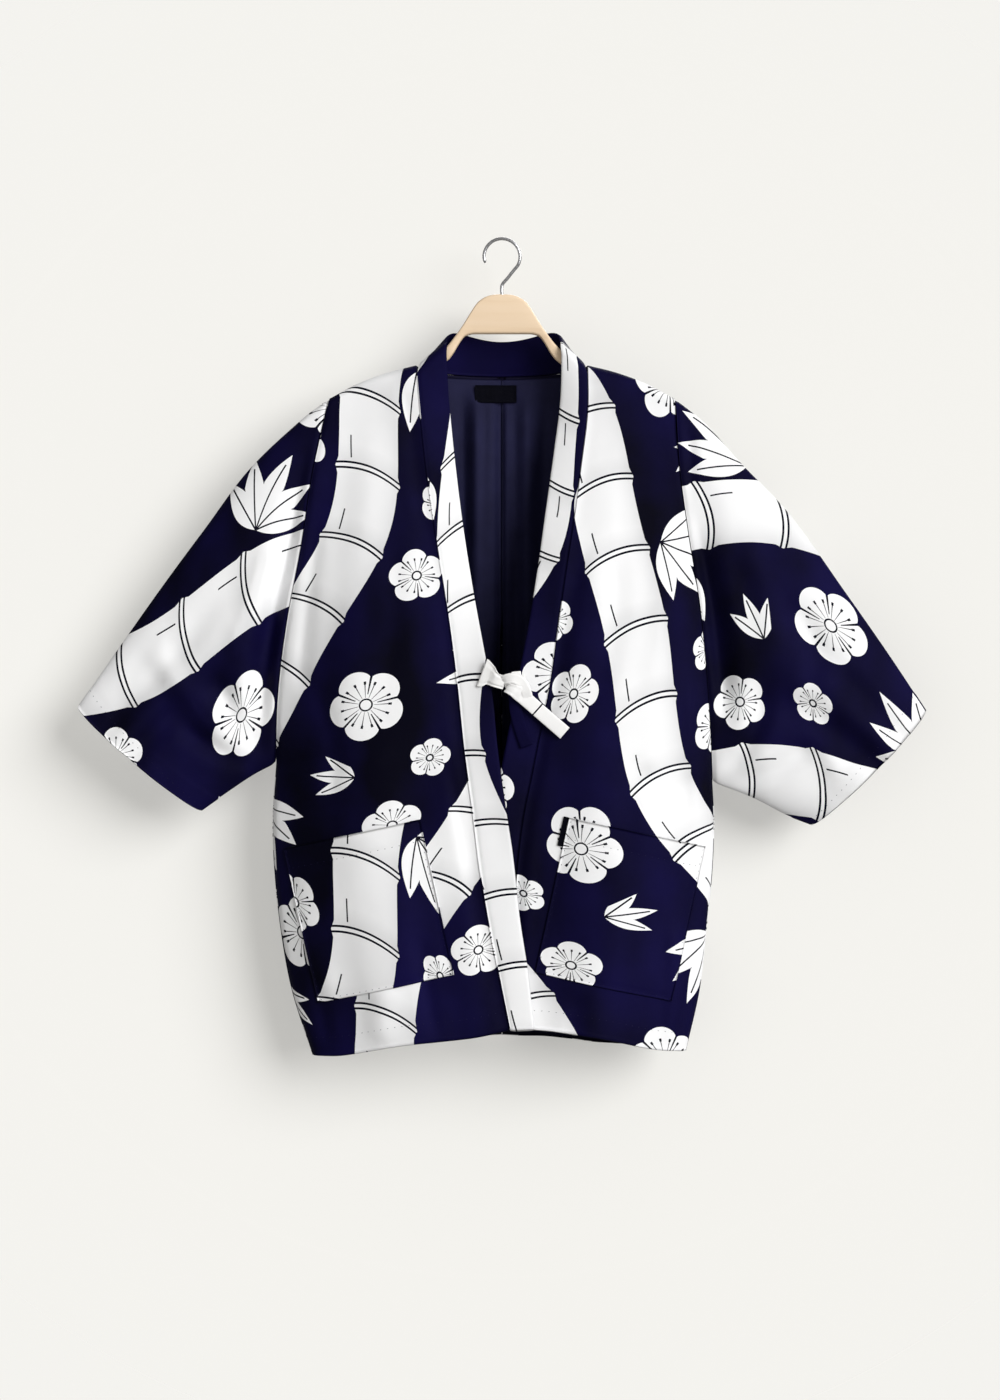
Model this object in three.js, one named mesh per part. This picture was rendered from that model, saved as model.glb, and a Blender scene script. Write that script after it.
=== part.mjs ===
// A haori: a hip-length, open-fronted jacket with wide three-quarter sleeves, hanging on a wooden hanger.
//
// Millimetres, +Z up. The front faces -Y and the wearer's right side is towards -X. The origin is the
// inside top of the hanger's hook, where a rail carries it. Each half of the jacket is drawn once, in
// "out" (distance from the middle plane, towards its own side) and z, and placed by its side's sign.
import * as THREE from "three";

// ---------------------------------------------------------------------------------------------------
// Driving sizes
// ---------------------------------------------------------------------------------------------------

const cloth = 2.0; // wall of a printed panel
const liningCloth = 1.0;
const liningEnd = 0.985; // how far down the back the lining reaches
const liningReach = 0.96; // and how far across
const seamGap = 0.3; // between two pieces that are sewn together
const collarWall = 3.4; // the collar is the cloth folded double
const shoulderRadius = 9; // the fold over the hanger's arm
const neckGap = 1.2; // between the backs and the collar
const neckTuck = 2.2; // how far the collar's seam lies inside their edge at the side of the neck
const neckRadius = { front: 15, back: 34 }; // the same fold beside the neck
const sideRadius = 7; // the fold along the side seam
const frontDepth = 56; // how far the fronts stand out from the middle plane
const backDepth = 44;
const armholeDepth = 22; // half the armhole's opening, front to back
const sleeveDepth = 27;
const cuffDepth = 20;
const cuffBow = 5; // how far the cuff's line bows outwards
const sleeveStart = { right: 0.004, left: 0.0036 }; // the share of its length that the seam gap takes
const sleeveFull = 0.3; // and where it has its full depth
const backFoldShare = 0.7; // how deep its folds are at the back, against the front
const neckDepth = 38; // how far the back neck lies behind the hanger
const backNeckZ = -148; // seam of the collar at the centre back
// The back's lower edge, from the centre-back seam. It ends where the front's does.
const backHemRows = [
  { out: 0, z: -884 },
  { out: 70, z: -888 },
  { out: 145, z: -894 },
];
// The collar's folded edge there: its height, its lean to the front, and how far it rises between the
// centre back and the sides of the neck.
const collarTop = { z: -109.5, lean: 9, shoulder: 10 };
// How far its edge rolls inwards beside the open chest, and where down the front that starts and ends.
const collarRoll = { size: 13, starts: 0.12, fades: 0.3, gone: 0.5 };
const collarFold = { share: 0.08, blunt: 0.7 }; // the rounding of its folded edge
// How the fronts lie beside the opening: the right one over the left from "starts" to "full" down them.
const opening = { fall: 5, over: 5, under: 2, starts: 0.42, full: 0.57, width: 0.35 };
const hemNarrows = { by: 7, starts: 0.6 }; // how much flatter the fronts are at the hem

// Distances over which the panels reach their depth and their folds fade in.
const reach = { besideNeck: 75, drop: 270, side: 140, openingDrop: 150, folds: 60, armholeTop: 400 };

const sides = { right: -1, left: 1 };

// The fold over the shoulder, from the neck to the top of the armhole. Both halves are alike.
const shoulder = [
  { out: 95, z: -138.5 },
  { out: 128, z: -147 },
  { out: 161, z: -159.5 },
  { out: 191, z: -175.5 },
];

// The outlines of the two halves as they hang.
const outlines = {
  right: {
    sleeveTop: [
      { out: 191, z: -175.5 },
      { out: 220, z: -197 },
      { out: 280, z: -254 },
      { out: 328, z: -318 },
      { out: 386, z: -397 },
      { out: 469, z: -516 },
    ],
    armhole: [
      { out: 191, z: -175.5 },
      { out: 208, z: -256 },
      { out: 221, z: -340 },
      { out: 237, z: -425 },
      { out: 247, z: -505 },
      { out: 250, z: -579 },
    ],
    sleeveUnder: [
      { out: 250, z: -579 },
      { out: 275, z: -592 },
      { out: 308, z: -614 },
      { out: 332, z: -631 },
    ],
    side: [
      { out: 250, z: -579 },
      { out: 254, z: -640 },
      { out: 252, z: -700 },
      { out: 245, z: -765 },
      { out: 233, z: -830 },
      { out: 210, z: -902 },
    ],
    hem: [
      { out: -9, z: -870 },
      { out: 35, z: -879 },
      { out: 109, z: -887 },
      { out: 175, z: -900 },
      { out: 210, z: -902 },
    ],
    collarSeam: [
      { out: 95, z: -138.5 },
      { out: 89, z: -205 },
      { out: 82, z: -265 },
      { out: 70, z: -345 },
      { out: 58, z: -421 },
      { out: 49, z: -490 },
      { out: 41, z: -565 },
      { out: 32, z: -630 },
      { out: 24, z: -695 },
      { out: 14, z: -755 },
      { out: 2, z: -815 },
      { out: -9, z: -870 },
    ],
    collarEdge: [
      { out: 62, z: -112 },
      { out: 58, z: -180 },
      { out: 51, z: -250 },
      { out: 42, z: -320 },
      { out: 31, z: -390 },
      { out: 20, z: -452 },
      { out: 11, z: -500 },
      { out: 5, z: -560 },
      { out: -3, z: -620 },
      { out: -12, z: -680 },
      { out: -19, z: -745 },
      { out: -28, z: -805 },
      { out: -35, z: -869 },
    ],
  },
  left: {
    sleeveTop: [
      { out: 191, z: -175.5 },
      { out: 225, z: -203 },
      { out: 262, z: -244 },
      { out: 318, z: -303 },
      { out: 384, z: -395 },
      { out: 430, z: -461 },
      { out: 469, z: -520 },
    ],
    armhole: [
      { out: 191, z: -175.5 },
      { out: 195, z: -250 },
      { out: 205, z: -325 },
      { out: 217, z: -400 },
      { out: 225, z: -475 },
      { out: 230, z: -545 },
      { out: 233, z: -600 },
    ],
    sleeveUnder: [
      { out: 233, z: -600 },
      { out: 279, z: -618 },
      { out: 314, z: -636 },
      { out: 342, z: -647 },
    ],
    side: [
      { out: 233, z: -600 },
      { out: 235, z: -645 },
      { out: 233, z: -700 },
      { out: 227, z: -760 },
      { out: 219, z: -830 },
      { out: 204, z: -897 },
    ],
    hem: [
      { out: 7, z: -868 },
      { out: 60, z: -872 },
      { out: 115, z: -881 },
      { out: 165, z: -893 },
      { out: 204, z: -897 },
    ],
    collarSeam: [
      { out: 95, z: -138.5 },
      { out: 95, z: -190 },
      { out: 88, z: -248 },
      { out: 79, z: -313 },
      { out: 70, z: -370 },
      { out: 61, z: -432 },
      { out: 53, z: -490 },
      { out: 43, z: -540 },
      { out: 33, z: -590 },
      { out: 23, z: -640 },
      { out: 16, z: -700 },
      { out: 11, z: -780 },
      { out: 7, z: -868 },
    ],
    collarEdge: [
      { out: 66, z: -112 },
      { out: 64, z: -177 },
      { out: 57, z: -235 },
      { out: 47, z: -306 },
      { out: 38, z: -370 },
      { out: 28, z: -432 },
      { out: 18, z: -485 },
      { out: 8, z: -540 },
      { out: -3, z: -595 },
      { out: -13, z: -645 },
      { out: -21, z: -700 },
      { out: -27, z: -780 },
      { out: -31, z: -866 },
    ],
  },
};

// Soft folds in the panels. at: place across the panel, from the middle edge 0 to the side 1. half: half
// its width, the same way. rise: towards the outside, in mm. from, to: where down the panel it starts and
// is full. lean: how far "at" moves on the way down.
const frontFolds = {
  right: [
    { at: 0.24, half: 0.14, rise: -3, from: 0.5, to: 0.8, lean: 0.03 },
    { at: 0.46, half: 0.19, rise: 3, from: 0.35, to: 0.9, lean: 0.06 },
    { at: 0.72, half: 0.17, rise: -2.6, from: 0.45, to: 0.95, lean: 0.04 },
  ],
  left: [
    { at: 0.2, half: 0.16, rise: -3.2, from: 0.5, to: 0.85, lean: 0.04 },
    { at: 0.46, half: 0.18, rise: 3, from: 0.4, to: 0.9, lean: 0.04 },
    { at: 0.74, half: 0.16, rise: -2.6, from: 0.4, to: 0.9, lean: 0.02 },
  ],
};
const backFolds = {
  right: [
    { at: 0.17, half: 0.15, rise: 11, from: 0.2, to: 0.95, lean: 0.03 },
    { at: 0.42, half: 0.13, rise: -9, from: 0.3, to: 1, lean: 0.03 },
    { at: 0.66, half: 0.14, rise: 8, from: 0.4, to: 1, lean: 0.02 },
    { at: 0.87, half: 0.09, rise: -5, from: 0.55, to: 1, lean: 0 },
  ],
  left: [
    { at: 0.21, half: 0.15, rise: 10, from: 0.25, to: 1, lean: 0.02 },
    { at: 0.48, half: 0.14, rise: -9, from: 0.35, to: 1, lean: 0.02 },
    { at: 0.72, half: 0.13, rise: 8, from: 0.4, to: 1, lean: 0.02 },
    { at: 0.9, half: 0.08, rise: -4, from: 0.6, to: 1, lean: 0 },
  ],
};
// Creases of the sleeves, which fan out from the underarm. at: place from the top fold 0 to the
// underarm 1. from, to: along the sleeve, from the armhole 0 to the cuff 1.
const sleeveFolds = [
  { at: 0.8, half: 0.12, rise: -5, from: 0.02, to: 0.5, lean: -0.35 },
  { at: 0.58, half: 0.13, rise: 4, from: 0.04, to: 0.55, lean: -0.25 },
  { at: 0.36, half: 0.11, rise: -3.5, from: 0.05, to: 0.6, lean: -0.1 },
  { at: 0.55, half: 0.16, rise: 3, from: 0.5, to: 1, lean: 0.1 },
];

const pocket = {
  width: 153,
  height: 173,
  turn: 12.5, // degrees that its top edge rises towards the middle
  cloth: 1.6,
  lift: 0.8, // above the panel
  slack: 1.2, // and as much more at the middle of its mouth
  // its top corner nearest the middle
  corner: { right: { out: 90, z: -640 }, left: { out: 74, z: -638 } },
};

const label = { width: 46, height: 19, middleX: -7, topZ: -158, thick: 0.6 };

const hanger = {
  thick: 10,
  chamfer: 3,
  clearance: 1.3, // below the cloth's inside, at the middle of its top
  armHeight: 15,
  armPlaces: [106, 117, 128, 144, 160, 174, 182, 186],
  bluntFrom: 170, // the arm's end is rounded off from here
  blunt: 6,
  // upper edge of the crown, then of the arm as far as the shoulder
  crown: [
    { out: 0, top: -60, bottom: -104 },
    { out: 9, top: -60.4, bottom: -104 },
    { out: 18, top: -62.8, bottom: -104 },
    { out: 27, top: -69, bottom: -104 },
    { out: 35, top: -80.5, bottom: -104.5 },
    { out: 43, top: -93.5, bottom: -108.5 },
    { out: 57, top: -113, bottom: -130 },
    { out: 66, top: -122.5, bottom: -138 },
    { out: 78, top: -135.5, bottom: -150.5 },
    { out: 90, top: -145, bottom: -159.5 },
  ],
};

// bend: radius of its middle line. The bend runs from one angle to the other, in degrees.
const hook = { wire: 3.6, bend: 20, stemTop: -50, startsAt: -50, opensAt: 200, step: 25 };

const tie = { width: 14, thick: 2.6, rootWidth: 34, rootZ: -483, gap: 0.6 };
const knot = { x: 10, z: -492, y: -58, halfWidth: 12, halfDepth: 7, halfHeight: 9, waist: 0.16 };
// Half of the ties' section, as shares of their half width and half thickness.
const tieSection = [
  [-1, -0.4],
  [-0.94, -1],
  [0.94, -1],
  [1, -0.4],
];
// Middle lines of the two free ends. lift: how far a point stands in front of the left front.
const freeEnds = {
  right: [
    { x: 18.6, z: -500, lift: 5.4 },
    { x: 29, z: -511, lift: 5.2 },
    { x: 46, z: -527, lift: 3.6 },
    { x: 66, z: -545, lift: 2.4 },
  ],
  left: [
    { x: 11, z: -503, lift: 2 },
    { x: 14, z: -520, lift: 2 },
    { x: 20, z: -540, lift: 2 },
    { x: 27, z: -560, lift: 2 },
  ],
};

// How finely the solids are divided.
const frontGrid = { across: 14, down: 24 };
const backGrid = { neck: 6, shoulder: 11, down: 16 };
const sleeveGrid = { half: 12, along: 13 };
const pocketGrid = { across: 10, down: 8 };
const collarColumns = [0, 0.35, 0.7, 0.93, 1];
const labelGrid = { across: 6, down: 3 };
const knotGrid = { around: 12, along: 9 };
const hookGrid = { around: 5, along: 44 };

// ---------------------------------------------------------------------------------------------------
// Curves and profiles
// ---------------------------------------------------------------------------------------------------

const clamp = (t, low = 0, high = 1) => Math.min(high, Math.max(low, t));
const mix = (a, b, t) => a + (b - a) * t;
const smooth = (t) => clamp(t) ** 2 * (3 - 2 * clamp(t));
// A quarter circle's height at a distance in from its edge, level past the radius.
const arch = (distance, radius) => Math.sqrt(radius ** 2 - (radius - clamp(distance, 0, radius)) ** 2);
// Rises from 0 at the edge to 1, and meets it level.
const lens = (t) => 1 - (1 - clamp(t)) ** 2;
// The section of a flattened tube, from its top fold 0 to its bottom fold 1.
const section = (t) => Math.sqrt(Math.max(0, 1 - (2 * t - 1) ** 2));

// A smooth curve through rows of a table, as a function of the share of its length.
function through(rows) {
  const keys = Object.keys(rows[0]);
  const at = [0];
  for (let i = 1; i < rows.length; i++)
    at.push(at[i - 1] + Math.hypot(...keys.map((k) => rows[i][k] - rows[i - 1][k])));
  const total = at[at.length - 1];
  const slope = (i, k) => {
    const a = Math.max(i - 1, 0);
    const b = Math.min(i + 1, rows.length - 1);
    return (rows[b][k] - rows[a][k]) / (at[b] - at[a]);
  };
  return (share) => {
    const s = clamp(share) * total;
    let i = 0;
    while (i < rows.length - 2 && s > at[i + 1]) i++;
    const span = at[i + 1] - at[i];
    const t = (s - at[i]) / span;
    const point = {};
    for (const k of keys)
      point[k] =
        rows[i][k] * (1 + 2 * t) * (1 - t) ** 2 +
        rows[i + 1][k] * t * t * (3 - 2 * t) +
        slope(i, k) * span * t * (1 - t) ** 2 -
        slope(i + 1, k) * span * t * t * (1 - t);
    return point;
  };
}

const lengthOf = (curve) => {
  let sum = 0;
  for (let i = 0; i < 60; i++) {
    const [a, b] = [curve(i / 60), curve((i + 1) / 60)];
    sum += Math.hypot(b.out - a.out, b.z - a.z);
  }
  return sum;
};

// One curve after another, each given its share of the whole.
function joined(first, second, share) {
  return (t) => (t < share ? first(t / share) : second((t - share) / (1 - share)));
}

// The flat patch between four curves that meet at the corners: across 0 to 1, down 0 to 1.
function patch(top, bottom, inner, outer) {
  const corner = [top(0), top(1), bottom(0), bottom(1)];
  return (u, v) => {
    const [t, b, i, o] = [top(u), bottom(u), inner(v), outer(v)];
    const point = {};
    for (const k of ["out", "z"])
      point[k] =
        (1 - v) * t[k] +
        v * b[k] +
        (1 - u) * i[k] +
        u * o[k] -
        (1 - u) * (1 - v) * corner[0][k] -
        u * (1 - v) * corner[1][k] -
        (1 - u) * v * corner[2][k] -
        u * v * corner[3][k];
    return point;
  };
}

function foldRise(folds, across, down) {
  let sum = 0;
  for (const f of folds) {
    const off = (across - f.at - f.lean * down) / f.half;
    if (Math.abs(off) < 1)
      sum += f.rise * Math.cos((off * Math.PI) / 2) ** 2 * smooth((down - f.from) / (f.to - f.from));
  }
  return sum;
}

// ---------------------------------------------------------------------------------------------------
// The garment's outer faces, as functions of two shares
// ---------------------------------------------------------------------------------------------------

const ridge = through(shoulder);
const neckOut = shoulder[0].out;

function halfShape(name) {
  const o = outlines[name];
  const [armhole, side] = [through(o.armhole), through(o.side)];
  const underarm = lengthOf(armhole) / (lengthOf(armhole) + lengthOf(side));
  const outer = joined(armhole, side, underarm);
  const hem = through(o.hem);
  const backHem = through([...backHemRows, o.hem.at(-1)]);
  const backNeck = through(
    [0, 0.25, 0.5, 0.75, 1].map((t) => ({
      out: neckOut * Math.sin((t * Math.PI) / 2),
      z: mix(backNeckZ, shoulder[0].z, 1 - Math.cos((t * Math.PI) / 2)),
    })),
  );
  const neckShare = lengthOf(backNeck) / (lengthOf(backNeck) + lengthOf(ridge));
  const centreBack = through([{ out: 0, z: backNeckZ }, backHemRows[0]]);
  return {
    name,
    sign: sides[name],
    underarm,
    neckShare,
    front: patch(ridge, hem, through(o.collarSeam), outer),
    back: patch(joined(backNeck, ridge, neckShare), backHem, centreBack, outer),
    sleeve: patch(through(o.sleeveTop), through(o.sleeveUnder), armhole, (t) => {
      const [a, b] = [o.sleeveTop.at(-1), o.sleeveUnder.at(-1)];
      const bow = cuffBow * section(t);
      return { out: mix(a.out, b.out, t) + bow, z: mix(a.z, b.z, t) - bow };
    }),
    edge: through(o.collarEdge),
  };
}
const halves = { right: halfShape("right"), left: halfShape("left") };

// How far the armhole's edge stands from the middle plane, t of the way down it.
function armholeRise(t) {
  const drop = t * reach.armholeTop;
  return Math.hypot(arch(drop, shoulderRadius) * (1 - t), armholeDepth * section(t));
}

// How far a panel stands from the middle plane, at the share v down it. drop: distance below its top, and
// topOut: how far out that top lies. inwards: distance from its outer edge. full: its depth where it is
// deepest. start: its depth at the top, 0 on the shoulder. beside: the fold's radius beside the neck.
function panelRise(half, { v, drop, topOut, inwards, full, start, beside }) {
  const radius = mix(beside, shoulderRadius, smooth((topOut - neckOut) / reach.besideNeck));
  const first = Math.hypot(start, arch(drop, radius) * clamp(topOut / neckOut) ** 2);
  const deep = first + (full - first) * smooth(drop / reach.drop);
  const edge = v < half.underarm ? armholeRise(v / half.underarm) : 0;
  const least = Math.min(Math.hypot(edge, arch(inwards, sideRadius)), deep);
  return least + (deep - least) * lens(inwards / reach.side);
}

// Towards its collar seam the right front stands a little forward, and the left one back.
function lap(half, v) {
  const down = smooth((v - opening.starts) / (opening.full - opening.starts));
  return (half.name === "right" ? opening.over : -opening.under) * down;
}

// Distances that both panels need at a place: below their top, and in from their outer edge.
function distances(shape, u, v) {
  const [p, top, outer] = [shape(u, v), shape(u, 0), shape(1, v)];
  return {
    v,
    topOut: top.out,
    drop: Math.hypot(p.out - top.out, p.z - top.z),
    inwards: Math.hypot(outer.out - p.out, outer.z - p.z),
  };
}

const foldFade = ({ drop, inwards }) => lens(inwards / reach.folds) * smooth(drop / reach.folds);

function frontRise(half, u, v) {
  const place = distances(half.front, u, v);
  const full = frontDepth - hemNarrows.by * smooth((v - hemNarrows.starts) / (1 - hemNarrows.starts));
  const nearOpening = 1 - smooth(u / opening.width);
  return (
    panelRise(half, { ...place, full, start: 0, beside: neckRadius.front }) +
    foldRise(frontFolds[half.name], u, v) * foldFade(place) +
    nearOpening * (lap(half, v) - opening.fall * smooth(place.drop / reach.openingDrop))
  );
}

function backRise(half, u, v) {
  const place = distances(half.back, u, v);
  const around = clamp(place.topOut / neckOut);
  const start = u < half.neckShare ? neckDepth * Math.sqrt(1 - around ** 2) : 0;
  return (
    panelRise(half, { ...place, full: backDepth, start, beside: neckRadius.back }) +
    foldRise(backFolds[half.name], u, v) * foldFade(place)
  );
}

// Points of the outer faces. The front is at -y and the back at +y.
const frontPoint = (half) => (u, v) => {
  const p = half.front(u, v);
  return new THREE.Vector3(half.sign * p.out, -Math.max(frontRise(half, u, v), seamGap / 2), p.z);
};
const backPoint = (half) => (u, v) => {
  const p = half.back(u, v);
  return new THREE.Vector3(half.sign * p.out, Math.max(backRise(half, u, v), seamGap / 2), p.z);
};
// around: 0 to 1 down the front of the sleeve, and 1 to 2 up its back. along: armhole 0 to cuff 1.
const sleevePoint = (half) => (around, along) => {
  const turn = ((around % 2) + 2) % 2;
  const t = turn < 1 ? turn : 2 - turn;
  const p = half.sleeve(along, t);
  const away = smooth(along / sleeveFull);
  const narrower = smooth((along - sleeveFull) / (1 - sleeveFull));
  const deep = mix(sleeveDepth, cuffDepth, narrower) * section(t);
  const fold = foldRise(sleeveFolds, t, along) * section(t) * smooth(along / 0.1);
  const rise = mix(armholeRise(t), deep, away) + fold * (turn < 1 ? 1 : backFoldShare);
  return new THREE.Vector3(half.sign * p.out, turn < 1 ? -rise : rise, p.z);
};

// ---------------------------------------------------------------------------------------------------
// Closed walls from faces
// ---------------------------------------------------------------------------------------------------

// The face's normal at a place, pointing away from the point inside.
function normalAt(face, u, v, inside) {
  const step = 1e-3;
  const [u0, u1] = [Math.max(u - step, face.low ?? 0), Math.min(u + step, face.high ?? 1)];
  const [v0, v1] = [Math.max(v - step, 0), Math.min(v + step, 1)];
  const across = face.at(u1, v).sub(face.at(u0, v));
  const down = face.at(u, v1).sub(face.at(u, v0));
  const normal = across.cross(down).normalize();
  const outward = face.at(u, v).sub(inside);
  return normal.dot(outward) < 0 ? normal.negate() : normal;
}

// A solid from two grids of points, near and far, of the same size. Rings close on themselves.
function solid(near, far, rings = false) {
  const [rows, columns] = [near.length, near[0].length];
  const points = [...near.flat(), ...far.flat()];
  const index = [];
  const id = (layer, r, c) => layer * rows * columns + r * columns + (c % columns);
  const quad = (a, b, c, d) => index.push(a, b, c, a, c, d);
  const lastColumn = rings ? columns : columns - 1;
  for (let r = 0; r < rows - 1; r++)
    for (let c = 0; c < lastColumn; c++) {
      quad(id(0, r, c), id(0, r, c + 1), id(0, r + 1, c + 1), id(0, r + 1, c));
      quad(id(1, r, c), id(1, r + 1, c), id(1, r + 1, c + 1), id(1, r, c + 1));
    }
  for (let c = 0; c < lastColumn; c++) {
    quad(id(0, 0, c), id(1, 0, c), id(1, 0, c + 1), id(0, 0, c + 1));
    quad(id(0, rows - 1, c), id(0, rows - 1, c + 1), id(1, rows - 1, c + 1), id(1, rows - 1, c));
  }
  const end = columns - 1;
  if (!rings)
    for (let r = 0; r < rows - 1; r++) {
      quad(id(0, r, 0), id(0, r + 1, 0), id(1, r + 1, 0), id(1, r, 0));
      quad(id(0, r, end), id(1, r, end), id(1, r + 1, end), id(0, r + 1, end));
    }
  return facingOut(points, index);
}

function facingOut(points, index) {
  let volume = 0;
  for (let i = 0; i < index.length; i += 3) {
    const [a, b, c] = [points[index[i]], points[index[i + 1]], points[index[i + 2]]];
    volume += a.dot(new THREE.Vector3().crossVectors(b, c));
  }
  if (volume < 0) index.reverse();
  const geometry = new THREE.BufferGeometry().setFromPoints(points);
  geometry.setIndex(index);
  geometry.computeVertexNormals();
  return geometry;
}

const spread = (count, low, high, shape = (t) => t) =>
  Array.from({ length: count + 1 }, (_, i) => mix(low, high, shape(i / count)));

// ---------------------------------------------------------------------------------------------------
// Pieces
// ---------------------------------------------------------------------------------------------------

const group = new THREE.Group();
const printed = new THREE.MeshStandardMaterial({ color: 0x17143c, roughness: 0.85, metalness: 0 });
const lined = new THREE.MeshStandardMaterial({ color: 0x1b1b33, roughness: 0.7, metalness: 0 });
const black = new THREE.MeshStandardMaterial({ color: 0x0b0b12, roughness: 0.6, metalness: 0 });
const wood = new THREE.MeshStandardMaterial({ color: 0xecd2b0, roughness: 0.5, metalness: 0 });
const steel = new THREE.MeshStandardMaterial({ color: 0xb8babd, roughness: 0.3, metalness: 1 });

function add(name, geometry, material) {
  const mesh = new THREE.Mesh(geometry, material);
  mesh.name = name;
  group.add(mesh);
}

// The layers of a face between two depths below it, kept on its own side of the middle plane: -1 for the
// front, 1 for the back.
function layers(face, us, vs, [outerDepth, innerDepth], sideOfPlane) {
  const middle = (p) => new THREE.Vector3(p.x * 0.9, 0, p.z - 12);
  return [outerDepth, innerDepth].map((depth) =>
    vs.map((v) =>
      us.map((u) => {
        const p = face.at(u, v);
        const q = p.clone().addScaledVector(normalAt(face, u, v, middle(p)), -depth);
        q.y = sideOfPlane * Math.max(sideOfPlane * q.y, seamGap / 2);
        return q;
      }),
    ),
  );
}

// Rows down the fronts, which the collar shares, and places along the top of the backs.
const frontRows = spread(frontGrid.down, 0, 1, (t) => t ** 2.1);
const neckPlaces = (half) => spread(backGrid.neck, 0.001, half.neckShare);
const backPlaces = (half) => [
  ...neckPlaces(half),
  ...spread(backGrid.shoulder, half.neckShare, 1, (t) => 1 - (1 - t) ** 1.6).slice(1),
];
const backRows = [...spread(backGrid.down - 1, 0, liningEnd, (t) => t ** 2.2), 1];

function fronts() {
  for (const half of Object.values(halves)) {
    const us = spread(frontGrid.across, 0.0025, 1, (t) => 1 - (1 - t) ** 1.3);
    const [near, far] = layers({ at: frontPoint(half) }, us, frontRows, [0, cloth], -1);
    add(`front_${half.name}`, solid(near, far), printed);
  }
}

function backs() {
  for (const half of Object.values(halves)) {
    const [near, far] = layers({ at: backPoint(half) }, backPlaces(half), backRows, [0, cloth], 1);
    add(`back_${half.name}`, solid(near, far), printed);
  }
}

function sleeves() {
  for (const half of Object.values(halves)) {
    const turn = spread(sleeveGrid.half, 0, 1, (t) => (1 - Math.cos(t * Math.PI)) / 2);
    const around = [...turn.slice(0, -1), ...turn.slice(0, -1).map((t) => t + 1)];
    const along = spread(sleeveGrid.along, sleeveStart[half.name], 1, (t) => t ** 1.4);
    const at = sleevePoint(half);
    const face = { at, low: -1, high: 3 };
    const ring = (s, depth) =>
      around.map((a) => {
        const share = clamp(a < 1 ? a : 2 - a, 0.04, 0.96);
        const inside = at(0, s).lerp(at(1, s), share);
        return at(a, s).addScaledVector(normalAt(face, a, s, inside), -depth);
      });
    const rows = (depth) => along.map((s) => ring(s, depth));
    add(`sleeve_${half.name}`, solid(rows(0), rows(cloth), true), printed);
  }
}

const collarEdgePoint = (half, v) => {
  const edge = half.edge(v);
  const fade = smooth((v - collarRoll.fades) / (collarRoll.gone - collarRoll.fades));
  const roll = collarRoll.size * smooth(v / collarRoll.starts) * (1 - fade);
  return new THREE.Vector3(half.sign * edge.out, frontPoint(half)(0, v).y + roll, edge.z);
};

// The collar's stations, from the right hem round the neck to the left hem: its seam, its folded edge and,
// on the fronts, the way out of the panel that it is sewn to.
function collarStations() {
  const front = (half) =>
    frontRows.map((v) => {
      const seam = frontPoint(half)(0, v);
      seam.x -= half.sign * neckTuck * (1 - smooth(v / 0.02));
      return {
        seam,
        edge: collarEdgePoint(half, v),
        panel: normalAt({ at: frontPoint(half) }, 0, v, new THREE.Vector3(seam.x, 0, seam.z - 12)),
      };
    });
  const back = (half) =>
    neckPlaces(half).map((u) => {
      const seam = backPoint(half)(u, 0);
      const around = Math.sqrt(Math.max(0, 1 - (seam.x / neckOut) ** 2));
      const side = half.edge(0);
      const edge = new THREE.Vector3(
        (seam.x / neckOut) * side.out,
        Math.max(seam.y - collarTop.lean * around, seamGap),
        mix(side.z, collarTop.z, around) + collarTop.shoulder * 4 * around * (1 - around),
      );
      seam.add(new THREE.Vector3((-seam.x / neckOut) * neckTuck, 0, neckGap));
      return { seam, edge };
    });
  return [
    ...front(halves.right).reverse(),
    ...back(halves.right).slice(0, -1).reverse(),
    ...back(halves.left).slice(0, -1),
    ...front(halves.left),
  ];
}

function collar() {
  const stations = collarStations();
  const rows = (depth) =>
    stations.map((station, i) => {
      const [before, after] = [stations[Math.max(i - 1, 0)], stations[Math.min(i + 1, stations.length - 1)]];
      const alongBand = after.seam.clone().sub(before.seam).add(after.edge).sub(before.edge);
      const across = station.edge.clone().sub(station.seam);
      const own = across.cross(alongBand).normalize();
      return collarColumns.map((t) => {
        const normal = (station.panel ?? own).clone().lerp(own, smooth(t / 0.35)).normalize();
        const flat = arch(1 - t, collarFold.share) / collarFold.share;
        const rounded = (collarWall / 2) * (1 - flat) * collarFold.blunt;
        const sink = depth === 0 ? rounded : depth - rounded;
        return station.seam.clone().lerp(station.edge, t).addScaledVector(normal, -sink);
      });
    });
  add("collar", solid(rows(0), rows(collarWall)), printed);
}

// The place on a panel, as its two shares, whose point lies at out and z.
function placeOn(shape, out, z, start = { u: 0.5, v: 0.6 }) {
  let { u, v } = start;
  const step = 1e-4;
  for (let i = 0; i < 12; i++) {
    const p = shape(u, v);
    const [pu, pv] = [shape(u + step, v), shape(u, v + step)];
    const [a, b] = [(pu.out - p.out) / step, (pv.out - p.out) / step];
    const [c, d] = [(pu.z - p.z) / step, (pv.z - p.z) / step];
    const det = a * d - b * c;
    u += (d * (out - p.out) - b * (z - p.z)) / det;
    v += (a * (z - p.z) - c * (out - p.out)) / det;
  }
  return { u, v };
}

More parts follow.
